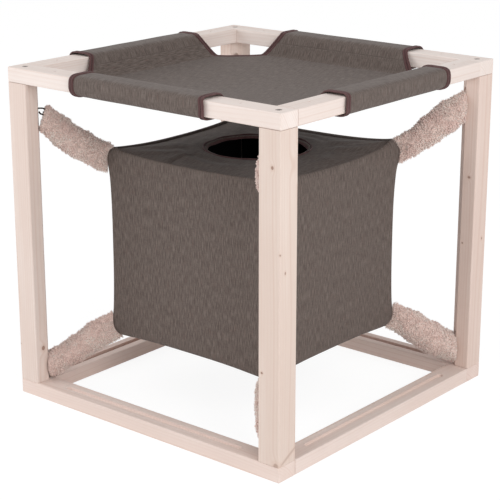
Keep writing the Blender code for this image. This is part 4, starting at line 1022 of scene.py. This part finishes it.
def tufts(core, corner, finish, seed):
    """Strands of pile on the cover: each is a thin three sided tube that leaves the cover along
    its normal, leans a little to the nearest clump's middle and bends its own way. Its tone is
    that of a broad patch of the cover, with some of its clump's and some of its own."""
    random = np.random.default_rng(seed)
    normal = normals_of(core)
    columns = core.shape[1]
    sides = np.linalg.norm(np.diff(core, axis=0)[:, :-1], axis=-1) * np.linalg.norm(
        np.diff(core, axis=1)[:-1], axis=-1)
    sides[:CUFF_ROWS] = 0.0
    chance = (sides / sides.sum()).ravel()
    picked = random.choice(len(chance), finish.curls, p=chance)
    i, j = picked // (columns - 1), picked % (columns - 1)
    fi, fj = random.random((2, len(picked), 1))

    def blended(grid):
        return ((grid[i, j] * (1 - fj) + grid[i, j + 1] * fj) * (1 - fi)
                + (grid[i + 1, j] * (1 - fj) + grid[i + 1, j + 1] * fj) * fi)

    def nearest(heads):
        gaps = (root ** 2).sum(1)[:, None] + (heads ** 2).sum(1)[None] - 2 * root @ heads.T
        return gaps.argmin(axis=1)

    root, up = blended(core), unit(blended(normal))
    flow = unit(blended(np.gradient(core, axis=0)))
    over = np.cross(up, flow)
    heads = root[random.choice(len(root), finish.clumps, replace=False)]
    clump = nearest(heads)
    patch_tone = random.random(TONE_PATCHES)
    patch_tone = patch_tone[nearest(root[random.choice(len(root), TONE_PATCHES, replace=False)])]
    head_tone = random.random(len(heads))[clump]
    lean = heads[clump] - root
    lean = lean - up * (lean * up).sum(axis=1, keepdims=True)
    lean = lean * np.minimum(1, CLUMP_PULL / np.maximum(np.linalg.norm(lean, axis=1, keepdims=True), 1e-9))
    long = finish.pile_length * random.uniform(0.65, 1.15, (len(root), 1))
    long = long * (0.72 + 0.56 * head_tone[:, None])
    spin = random.uniform(0, 2 * np.pi, (len(root), 1))
    curl = random.uniform(0.0002, 0.0008, (len(root), 1))
    steps = np.linspace(0, 1, 3)
    centre = np.stack([root + up * (long * u * (1 - 0.18 * u) - 0.0005) + lean * (0.8 * u ** 1.5)
                       + (flow * np.cos(spin + 1.6 * u) + over * np.sin(spin + 1.6 * u)) * curl * u
                       for u in steps], axis=1)
    ahead = unit(np.gradient(centre, axis=1))
    first = unit(np.cross(ahead, over[:, None]) + 1e-6)
    second = np.cross(ahead, first)
    thick = (finish.curl_width / 2 * (1 - 0.45 * steps ** 2))[None, :, None]
    ring = [centre + (first * math.cos(a) + second * math.sin(a)) * thick
            for a in (0, 2 * math.pi / 3, 4 * math.pi / 3)]
    points = keep_clear(np.stack(ring, axis=2), corner, PILE_GAP, PILE_GAP)
    count, levels = len(root), len(steps)
    base = np.arange(count)[:, None] * levels * 3
    faces = []
    for level in range(levels - 1):
        for k in range(3):
            near, n = level * 3, (k + 1) % 3
            faces.append(base + near + np.array((k, n, 3 + n, 3 + k)))
    faces = np.concatenate(faces)
    caps = base + np.array([[(levels - 1) * 3, (levels - 1) * 3 + 1, (levels - 1) * 3 + 2]])
    tone = clamped(0.45 * patch_tone + 0.35 * head_tone + 0.2 * random.random(count))
    height = np.broadcast_to(np.repeat(steps, 3)[None], (count, levels * 3)).ravel()
    return points.reshape(-1, 3), faces, caps, height, np.repeat(tone, levels * 3)


def make_strap(name, corner, upper, seed, finish, material):
    """Joins a strap's cover, closed at both ends, with its curls in one mesh."""
    ring_shown = upper and corner == "front_left"
    core = keep_clear(strap_core(corner, upper, seed, ring_shown), corner, COVER_GAP, COVER_POST_GAP)
    points, faces, caps, height, tone = tufts(core, corner, finish, seed + 50)
    rows, columns = core.shape[:2]
    grid = patch(core, round_it=True)
    ends = np.stack((core[0, :-1].mean(axis=0), core[-1, :-1].mean(axis=0)))
    ring = np.arange(columns - 1)
    ahead = (ring + 1) % (columns - 1)
    last = (rows - 1) * (columns - 1)
    total = len(grid["points"])
    fans = np.concatenate((np.stack((ahead, ring, np.full_like(ring, total)), axis=1),
                           np.stack((last + ring, last + ahead, np.full_like(ring, total + 1)), axis=1)))
    base = total + 2
    mesh = bpy.data.meshes.new(name)
    everything = np.concatenate((grid["points"], ends, points))
    mesh.from_pydata(everything.tolist(), [], grid["faces"].tolist() + fans.tolist()
                     + (faces + base).tolist() + (caps + base).tolist())
    for key, data, plain in (("pile_height", height, 0.0), ("pile_tone", tone, 0.5)):
        layer = mesh.attributes.new(key, "FLOAT", "POINT")
        layer.data.foreach_set("value", np.concatenate((np.full(base, plain), data)).astype(np.float32))
    return into_scene(name, mesh, [material])


def cord_loop(corner, upper):
    """The cord sewn into the strap: out of the plush, round the ring's bend and back in."""
    start, end = strap_ends(corner, upper)
    ahead = unit(end - start)
    across = unit(np.cross((0.0, 0.0, 1.0), ahead))
    around = RING_WIRE + 0.0003 + CORD_RADIUS
    bend = start + ahead * RING_BEND
    turn = np.radians(np.linspace(90, 270, 17))[:, None]
    arc = bend + ahead * np.cos(turn) * around + across * np.sin(turn) * around
    legs = np.linspace(0.016, 0.0055, 8)[:, None]
    first = start + ahead * legs + across * around
    second = start + ahead * legs[::-1] - across * around
    return np.concatenate((first, arc, second))


# Cushion
def cushion_shape(low, high):
    """The cushion before it is plumped: a squared circle whose rows go from the middle of its
    underside round its side to the middle of its top."""
    angle = np.linspace(0, 2 * np.pi, 97)
    outline = joined(*[np.sign(way) * np.abs(way) ** CUSHION_POWER
                       for way in (np.cos(angle), np.sin(angle))])
    rows = np.array(((0.0, 0.0), (0.3, 0.0), (0.6, 0.0), (0.85, 0.0), (0.95, 0.03), (0.99, 0.18),
                     (1.0, 0.38), (0.98, 0.56), (0.93, 0.72), (0.83, 0.84), (0.68, 0.92), (0.5, 0.97),
                     (0.25, 0.99), (0.0, 1.0)))
    plan = outline[None] * rows[:, :1, None] * high.x * CUSHION_SHARE
    lift = np.broadcast_to(low.z + rows[:, 1:] * (high.z - low.z) * 0.86, plan.shape[:2])
    return np.concatenate((plan, lift[..., None]), axis=-1)


def vertex_places(mesh):
    places = np.empty(len(mesh.vertices) * 3, np.float32)
    mesh.vertices.foreach_get("co", places)
    return places.reshape(-1, 3)


def plump(piece, low, high, setup):
    """Blows the cushion up like a filled cover: remeshed, then simulated as cloth under pressure
    with no weight. How far a point may go is capped, and it stays in its place."""
    scene = bpy.context.scene
    piece.data.remesh_voxel_size = setup.voxel
    with bpy.context.temp_override(object=piece, active_object=piece, selected_objects=[piece]):
        bpy.ops.object.voxel_remesh()
    before = vertex_places(piece.data)
    cloth = piece.modifiers.new("plump", "CLOTH")
    cloth.settings.quality = 5
    cloth.settings.mass = 0.2
    cloth.settings.use_pressure = True
    cloth.settings.uniform_pressure_force = setup.pressure
    cloth.settings.effector_weights.gravity = 0.0
    cloth.point_cache.frame_start, cloth.point_cache.frame_end = 1, PLUMP_FRAMES
    for number in range(1, PLUMP_FRAMES + 1):
        scene.frame_set(number)
    shown = piece.evaluated_get(bpy.context.evaluated_depsgraph_get())
    after = vertex_places(shown.data)
    piece.modifiers.remove(cloth)
    scene.frame_set(1)
    step = after - before
    far = np.linalg.norm(step, axis=1, keepdims=True)
    place = before + step * np.minimum(1.0, setup.swell / np.maximum(far, 1e-9))
    place = np.clip(place, (-high.x, -high.y, low.z), (high.x, high.y, high.z + 0.003))
    piece.data.vertices.foreach_set("co", place.astype(np.float32).ravel())
    piece.data.polygons.foreach_set("use_smooth", np.ones(len(piece.data.polygons), bool))
    piece.data.update()


def cushion_seam(piece):
    """The cushion's edge a little below half way up, for its piping. Its plan is convex, so in
    each direction the edge lies at the least of the supporting lines' distances that way."""
    points = vertex_places(piece.data)
    middle = points[:, 2].min() + SEAM_HEIGHT * np.ptp(points[:, 2])
    near = points[np.abs(points[:, 2] - middle) < 0.005, :2]
    facing = np.linspace(-np.pi, np.pi, 361)
    support = (near @ np.stack((np.cos(facing), np.sin(facing)))).max(axis=0)
    angle = np.linspace(-np.pi, np.pi, 145)
    slant = np.cos(angle[:, None] - facing[None])
    out = np.where(slant > 0.2, support[None] / np.maximum(slant, 0.2), 1.0).min(axis=1) - 0.0003
    return np.stack((np.cos(angle) * out, np.sin(angle) * out, np.full_like(angle, middle)), axis=1)


# Settings
class TimberFinish(bpy.types.PropertyGroup):
    wash: colour_setting("Whitewash", "Colour of the washed early wood", "#F5EAE4")
    late_wood: colour_setting("Late wood", "Colour of the lines that show through", "#E5D0C5")
    fibre: colour_setting("Fibre", "Colour of the fine fibre lines", "#ECD8CE")
    knot: colour_setting("Knot", "Colour of the knots", "#9A7A6A")
    # Painted shade inside the grooves of the back and left bottom rails.
    groove_shade: colour_setting("Bare wood", "Colour inside the routed grooves", "#B48E80")
    ring_spacing: length_setting("Ring spacing", "Distance from one year's ring to the next", 0.0036)


class ClothFinish(bpy.types.PropertyGroup):
    yarn: colour_setting("Yarn", "Main colour of the heather fabric", "#594E49")
    slub: colour_setting("Slub", "Colour of the light slubs", "#7A6F69")
    fleck: colour_setting("Fleck", "Colour of the reddish slubs", "#765E57")
    # Painted shade between the threads.
    shade: colour_setting("Shade", "Colour between the threads", "#453B37")
    binding: colour_setting("Binding", "Colour of the binding", "#543A39")
    binding_light: colour_setting("Binding light", "Colour of the binding where it is worn", "#654848")
    # Painted shade in the binding's sewn groove.
    binding_groove_shade: colour_setting("Binding groove", "Colour of the binding's sewn groove", "#3A2424")


class PlushFinish(bpy.types.PropertyGroup):
    pile_cool: colour_setting("Cool tip", "Greyer colour of the curls", "#FFF8F0")
    pile_warm: colour_setting("Warm tip", "Pinker colour of the curls", "#FADCD4")
    # Painted shade at the foot of the pile, and between the cushion's clumps.
    pile_shade: colour_setting("Root", "Colour at the foot of the pile", "#E2CBC2")
    pile_length: length_setting("Pile length", "Length of a curl", 0.0040)
    curl_width: length_setting("Curl width", "Width of a curl at its foot", 0.0009)
    curls: IntProperty(name="Curls", description="Curls of pile on one strap", default=11800, min=100)
    clumps: IntProperty(name="Clumps", description="Clumps that the curls of one strap lean to",
                        default=1500, min=10)


class CaveShape(bpy.types.PropertyGroup):
    top_sag: length_setting("Top sag", "Slack of the cave's upper front edge", TOP_SAG)
    bottom_roll: length_setting("Bottom roll", "Rounding of the cave's lower edges", 0.0080)
    fold_depth: length_setting("Fold depth", "Depth of the folds from the corners to the mouth", 0.0016)


class HammockShape(bpy.types.PropertyGroup):
    sag: length_setting("Sag", "How far the bed hangs below its edge", 0.010)


class CushionFilling(bpy.types.PropertyGroup):
    voxel: length_setting("Voxel", "Grid on which the cushion is remeshed", 0.005)
    swell: length_setting("Swell", "How far a point of the cover may move when it is filled", 0.006)
    pressure: FloatProperty(name="Pressure", description="Pressure of the filling", default=4.0, min=0)


class StageSetup(bpy.types.PropertyGroup):
    floor: colour_setting("Floor", "Colour of the studio floor", "#FAF8F7")
    ambient: FloatProperty(name="Ambient", description="Strength of the even studio light",
                           default=0.60, min=0)
    key: FloatProperty(name="Key light", description="Power of the large light on the right",
                       default=26, min=0, unit="POWER")
    fill: FloatProperty(name="Fill light", description="Power of the large light on the left",
                        default=24, min=0, unit="POWER")


# Each timber's grain direction, its heart, its tone, which is painted shade that makes the posts and bottom
# rails that stand in shade a little darker and warmer, and its knots: centre and reach along X, Y and Z in
# metres, tilt about X, strength of the eye and how far the grain bends round it.
TIMBERS = {
    "top_rail_front": ("x", (0.13, 0.31, -0.44), "#FFFFFF",
        [((0.02, -0.2145, 0.489), (0.004, 0.006, 0.0022), 0, 0.5, 0.003)]),
    "top_rail_back": ("x", (0.71, -0.16, -0.43), "#FFFFFF",
        [((-0.19, 0.25, 0.490), (0.005, 0.008, 0.0024), 0, 0.7, 0.004)]),
    "top_rail_left": ("y", (0.27, -0.21, -0.45), "#FFFFFF",
        [((-0.25, 0.16, 0.487), (0.008, 0.0045, 0.0022), 0, 0.6, 0.004)]),
    "top_rail_right": ("y", (1.31, 0.29, -0.44), "#FDFDFD", []),
    "bottom_rail_front": ("x", (0.45, 0.29, 0.05), "#FAF5F3", []),
    "bottom_rail_back": ("x", (1.9, -0.18, 0.04), "#F8EFEC",
        [((0.07, 0.25, 0.012), (0.004, 0.008, 0.0020), 0, 0.7, 0.003)]),
    "bottom_rail_left": ("y", (2.3, -0.20, 0.05), "#F8EFEC",
        [((-0.25, -0.05, 0.009), (0.008, 0.0040, 0.0018), 0, 0.7, 0.003)]),
    "bottom_rail_right": ("y", (0.95, 0.19, 0.06), "#FAF5F3", []),
    "post_front_left": ("z", (0.2, 0.20, -0.29), "#F5F0ED", [
        ((-0.2145, -0.2363, 0.0752), (0.010, 0.0032, 0.0038), 0, 0.85, 0.003),
        ((-0.25, -0.25, 0.0784), (0.0024, 0.0024, 0.0013), 0, 0.6, 0),
        ((-0.25, -0.231, 0.31), (0.007, 0.0020, 0.0028), 0, 0.75, 0.003)]),
    "post_front_right": ("z", (1.2, 0.19, 0.30), "#F1EBE6", [
        ((0.2369, -0.25, 0.4292), (0.0022, 0.008, 0.0026), 0, 0.8, 0.003),
        ((0.2206, -0.25, 0.1503), (0.0018, 0.008, 0.0016), 0, 0.85, 0.0015),
        ((0.25, -0.239, 0.2907), (0.006, 0.0012, 0.0022), 0, 0.75, 0.0015),
        ((0.25, -0.2168, 0.4306), (0.006, 0.0040, 0.0060), 0, 0.0, 0.005),
        ((0.25, -0.249, 0.3169), (0.0020, 0.0012, 0.0014), 0, 0.6, 0),
        ((0.2449, -0.25, 0.0235), (0.0042, 0.006, 0.0045), 0, 0.5, 0.003),
        ((0.25, -0.2293, 0.0333), (0.004, 0.0200, 0.0020), 0.507, 0.28, 0)]),
    "post_back_right": ("z", (2.2, -0.26, 0.17), "#F3E9E4", [
        ((0.2386, 0.2145, 0.3250), (0.0026, 0.006, 0.0020), 0, 0.75, 0.003),
        ((0.2317, 0.2145, 0.2216), (0.0014, 0.006, 0.0014), 0, 0.75, 0.0015),
        ((0.25, 0.2397, 0.2267), (0.006, 0.0014, 0.0020), 0, 0.75, 0.0015)]),
    "post_back_left": ("z", (3.2, -0.31, -0.19), "#F3ECE7", [
        ((-0.232, 0.25, 0.36), (0.0024, 0.008, 0.0030), 0, 0.8, 0.004),
        ((-0.25, 0.229, 0.14), (0.008, 0.0018, 0.0024), 0, 0.7, 0.002)]),
}


# Operators
def put_on(name, material):
    """Gives a CAD node its only material."""
    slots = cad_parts[name].data.materials
    slots.clear()
    slots.append(material)


def thicken(piece, thickness, offset, lining=0):
    thick = piece.modifiers.new("cloth", "SOLIDIFY")
    thick.thickness, thick.offset, thick.material_offset = thickness, offset, lining


def rides(piece, body, slot, *nodes):
    """Says which body a piece rides on and hides the CAD nodes that it stands for. The slot is not used."""
    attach(piece, body)
    if nodes:
        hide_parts(*nodes)


def blends(piece, slot, *nodes):
    """For the hammock's cloth, which hangs between the stitched line and the bed: bakes its placement into
    its mesh and hides the CAD nodes that it stands for. The slot is not used.
    """
    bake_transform(piece)
    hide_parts(*nodes)


class HAMMOCK_OT_stage(bpy.types.Operator):
    """Makes the floor, the white surround, the soft lamps and the camera"""
    bl_idname = "hammock.stage"
    bl_label = "Studio stage"

    def execute(self, context):
        setup = context.scene.hammock_stage
        scene = context.scene
        scene.view_settings.view_transform = "Standard"

        world = bpy.data.worlds.new("studio")
        world.use_nodes = True
        tree = world.node_tree
        tree.nodes.clear()
        seen = self.seen_directly(tree)
        light = add(tree, "Background", {"Color": (1, 1, 1, 1), "Strength": setup.ambient})
        white = add(tree, "Background", {"Color": (1, 1, 1, 1), "Strength": 1.0})
        both = add(tree, "MixShader", {0: seen, 1: light, 2: white})
        add(tree, "OutputWorld", {"Surface": both})
        scene.world = world

        far = FLOOR_REACH
        corners = np.array([[[-far, -far, 0], [far, -far, 0]], [[-far, far, 0], [far, far, 0]]])
        floor = build("studio_floor", [patch(corners)], [self.floor_material(setup)])

        for name, place, aim, size, power in (
                ("key_softbox", (2.2, -1.0, 1.45), (0, 0, 0.3), 1.4, setup.key),
                ("fill_softbox", (-2.0, -1.9, 1.15), (0, 0, 0.25), 1.6, setup.fill)):
            lamp = bpy.data.lights.new(name, "AREA")
            lamp.energy = power
            lamp.size = size
            holder = bpy.data.objects.new(name, lamp)
            holder.location = place
            look = Vector(aim) - Vector(place)
            holder.rotation_euler = look.to_track_quat("-Z", "Y").to_euler()
            scene.collection.objects.link(holder)

        lens = bpy.data.cameras.new("camera")
        lens.sensor_width, lens.lens = CAMERA_SENSOR, CAMERA_LENS
        camera = bpy.data.objects.new("camera", lens)
        camera.location = CAMERA_PLACE
        camera.rotation_euler = (math.radians(90 - CAMERA_DOWN), 0, math.radians(CAMERA_ROUND))
        scene.collection.objects.link(camera)
        scene.camera = camera
        return {"FINISHED"}

    @staticmethod
    def seen_directly(tree):
        """1 for what the camera, a mirror image or a clear material sees, 0 for light."""
        path = add(tree, "LightPath").outputs
        seen = maths(tree, "MAXIMUM", path["Is Camera Ray"], path["Is Glossy Ray"])
        return maths(tree, "MAXIMUM", seen, path["Is Transmission Ray"])

    def floor_material(self, setup):
        """White photo paper: matt, and lifted to white where it is seen, so that only the
        object's soft shadow shows on it."""
        made = bpy.data.materials.new("white_photo_paper")
        made.use_nodes = True
        tree = made.node_tree
        tree.nodes.clear()
        paper = add(tree, "BsdfDiffuse", {"Color": (*setup.floor, 1.0)})
        dimmed = add(tree, "BsdfDiffuse", {"Color": PAPER_GREY})
        lift = add(tree, "Emission", {"Color": (1, 1, 1, 1), "Strength": PAPER_GLOW})
        shown = add(tree, "AddShader", {0: dimmed, 1: lift})
        both = add(tree, "MixShader", {0: self.seen_directly(tree), 1: paper, 2: shown})
        add(tree, "OutputMaterial", {"Surface": both})
        return made


class HAMMOCK_OT_timber(bpy.types.Operator):
    """Gives each timber its own whitewashed grain"""
    bl_idname = "hammock.timber"
    bl_label = "Timber"

    def execute(self, context):
        # Each timber's tone is painted shade for the timbers that stand in shade.
        for name, (axis, heart, tone, knots) in TIMBERS.items():
            material = whitewashed_pine("whitewashed_pine_" + name, axis, heart, tone, knots,
                                        context.scene.hammock_timber)
            put_on(name, material)
        return {"FINISHED"}


class HAMMOCK_OT_fasteners(bpy.types.Operator):
    """Gives the screws and the screw hooks their black steel, and the board its own finish"""
    bl_idname = "hammock.fasteners"
    bl_label = "Fasteners and board"

    def execute(self, context):
        steel = black_oxide_steel()
        for name in STEEL_NODES:
            put_on(name, steel)
        put_on("cave_floor_board", hardboard())
        return {"FINISHED"}


class HAMMOCK_OT_straps(bpy.types.Operator):
    """Makes the eight plush straps and the cord loops that hang them on their hooks"""
    bl_idname = "hammock.straps"
    bl_label = "Plush straps"

    def execute(self, context):
        finish = context.scene.hammock_plush
        pile, cord = curly_plush(finish), black_cord()
        for number, (upper, corner) in enumerate((u, c) for u in (True, False) for c in CORNERS):
            name = ("upper_" if upper else "lower_") + corner
            piece = make_strap("plush_strap_" + name, corner, upper, 100 + number, finish, pile)
            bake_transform(piece)
            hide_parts("strap_" + name)
            points, cloth = tube(cord_loop(corner, upper), CORD_RADIUS)
            loop = build("strap_cord_" + name, [patch(points, cloth, round_it=True)], [cord])
            rides(loop, "frame", "plush")
        return {"FINISHED"}


class HAMMOCK_OT_cave(bpy.types.Operator):
    """Makes the hanging cave: four walls, top, floor and the binding round its mouth"""
    bl_idname = "hammock.cave"
    bl_label = "Cave"

    def execute(self, context):
        shape, finish = context.scene.hammock_cave, context.scene.hammock_cloth
        cloth_outside, lining = heather_canvas(finish), black_lining()
        panels = []
        for side, name in enumerate(SIDES):
            points, cloth = cave_wall(side, shape)
            panels.append((build("cave_side_" + name, [patch(points, cloth)], [cloth_outside, lining]),
                           "cave_wall_" + name, SIDE_FLAT, None))
        points, cloth = cave_top(shape)
        panels.append((build("cave_roof", [patch(points, cloth, round_it=True)], [cloth_outside, lining]),
                       "cave_top", ROOF_FLAT, ROOF_AREA))
        points, cloth = cave_floor(shape)
        panels.append((build("cave_base", [patch(points, cloth, round_it=True, flip=True)],
                             [cloth_outside, lining], weld=1e-5), "cave_floor", BASE_FLAT, None))
        points, cloth = mouth_binding()
        rim = build("mouth_edging", [patch(points, cloth, round_it=True), binding_stitches(points)],
                    [bias_binding(finish), sewing_thread("binding_thread", "#4A3232")], weld=1e-6)
        rides(rim, "cave", "binding", "cave_mouth_binding")
        for piece, node, flat, area in panels:
            thicken(piece, CAVE_CLOTH, -1, lining=1)
            rides(piece, "cave", "heather_fabric", node)
        return {"FINISHED"}


class HAMMOCK_OT_bed(bpy.types.Operator):
    """Makes the hammock: the bed with its flaps, a sleeve round each top rail and the bindings"""
    bl_idname = "hammock.bed"
    bl_label = "Hammock"

    def execute(self, context):
        sag, finish = context.scene.hammock_bed.sag, context.scene.hammock_cloth
        cloth_outside = bpy.data.materials.get("heather_canvas") or heather_canvas(finish)
        tape = bpy.data.materials.get("bias_binding") or bias_binding(finish)
        tape_thread = bpy.data.materials.get("binding_thread") or sewing_thread("binding_thread", "#4A3232")
        seam_thread = sewing_thread("seam_thread", "#6A5E58")
        for corner, (sign_x, sign_y) in CORNERS.items():
            points, cloth = corner_binding(sign_x, sign_y, sag)
            piece = build("cut_out_edging_" + corner,
                          [patch(points, cloth, round_it=True, flip=sign_x * sign_y < 0),
                           binding_stitches(points)], [tape, tape_thread], weld=1e-6)
            blends(piece, "binding", "hammock_binding_" + corner)
        points, cloth = hammock_sheet(sag)
        bed = build("hammock_cloth", [patch(points, cloth, round_it=True)], [cloth_outside], weld=1e-5)
        thicken(bed, BED_CLOTH, 0)
        blends(bed, "heather_fabric", "hammock_bed", *["hammock_flap_" + side for side in SIDES])
        for side, name in enumerate(SIDES):
            points, cloth = sleeve(side)
            piece = build("rail_sleeve_" + name, [patch(points, cloth, round_it=True)], [cloth_outside])
            thicken(piece, SLEEVE_CLOTH, -1)
            rides(piece, "frame", "heather_fabric", "hammock_sleeve_" + name)
            seam = build("sleeve_seam_" + name, [sleeve_stitches(side)], [seam_thread], weld=1e-6)
            rides(seam, "frame", "heather_fabric")
            for end, label in ((-1, "near"), (1, "far")):
                points, cloth = sleeve_binding(side, end)
                hem = build("sleeve_edging_" + name + "_" + label,
                            [patch(points, cloth, round_it=True, flip=end < 0), binding_stitches(points)],
                            [tape, tape_thread], weld=1e-6)
                rides(hem, "frame", "binding")
        return {"FINISHED"}


class HAMMOCK_OT_cushion(bpy.types.Operator):
    """Makes the cushion on the cave's floor: plumped by a cloth simulation, with a piped seam"""
    bl_idname = "hammock.cushion"
    bl_label = "Cushion"

    def execute(self, context):
        low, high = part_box("cave_cushion")
        fleece = cushion_fleece(context.scene.hammock_plush)
        piece = build("cave_pad", [patch(cushion_shape(low, high), round_it=True)], [fleece], weld=1e-5)
        plump(piece, low, high, context.scene.hammock_cushion)
        smooth = piece.modifiers.new("finer", "SUBSURF")
        smooth.levels = smooth.render_levels = 1
        seam = cushion_seam(piece)
        points, cloth = tube(seam, PIPING_RADIUS, 8)
        points[-1], cloth[-1] = points[0], cloth[-1]
        piping = build("cave_pad_piping", [patch(points, cloth, round_it=True)], [fleece], weld=1e-5)
        rides(piece, "cave", "cushion", "cave_cushion")
        rides(piping, "cave", "cushion")
        return {"FINISHED"}


class HAMMOCK_PT_panel(bpy.types.Panel):
    """Lists the steps that dress the hammock"""
    bl_idname = "HAMMOCK_PT_panel"
    bl_label = "Cat Hammock"
    bl_space_type = "VIEW_3D"
    bl_region_type = "UI"
    bl_category = "Cat Hammock"

    def draw(self, context):
        for step in STEPS:
            self.layout.operator(step.bl_idname)


STEPS = (HAMMOCK_OT_stage, HAMMOCK_OT_timber, HAMMOCK_OT_fasteners, HAMMOCK_OT_straps,
         HAMMOCK_OT_cave, HAMMOCK_OT_bed, HAMMOCK_OT_cushion)
GROUPS = {"hammock_stage": StageSetup, "hammock_timber": TimberFinish, "hammock_cloth": ClothFinish,
          "hammock_plush": PlushFinish, "hammock_cave": CaveShape, "hammock_bed": HammockShape,
          "hammock_cushion": CushionFilling}


def register():
    for group in GROUPS.values():
        bpy.utils.register_class(group)
    for name, group in GROUPS.items():
        setattr(bpy.types.Scene, name, PointerProperty(type=group))
    for step in (*STEPS, HAMMOCK_PT_panel):
        bpy.utils.register_class(step)


def unregister():
    for step in reversed((*STEPS, HAMMOCK_PT_panel)):
        bpy.utils.unregister_class(step)
    for name in GROUPS:
        delattr(bpy.types.Scene, name)
    for group in GROUPS.values():
        bpy.utils.unregister_class(group)


def main():
    register()
    for step in STEPS:
        package, action = step.bl_idname.split(".")
        getattr(getattr(bpy.ops, package), action)()


if __name__ == "__main__":
    main()
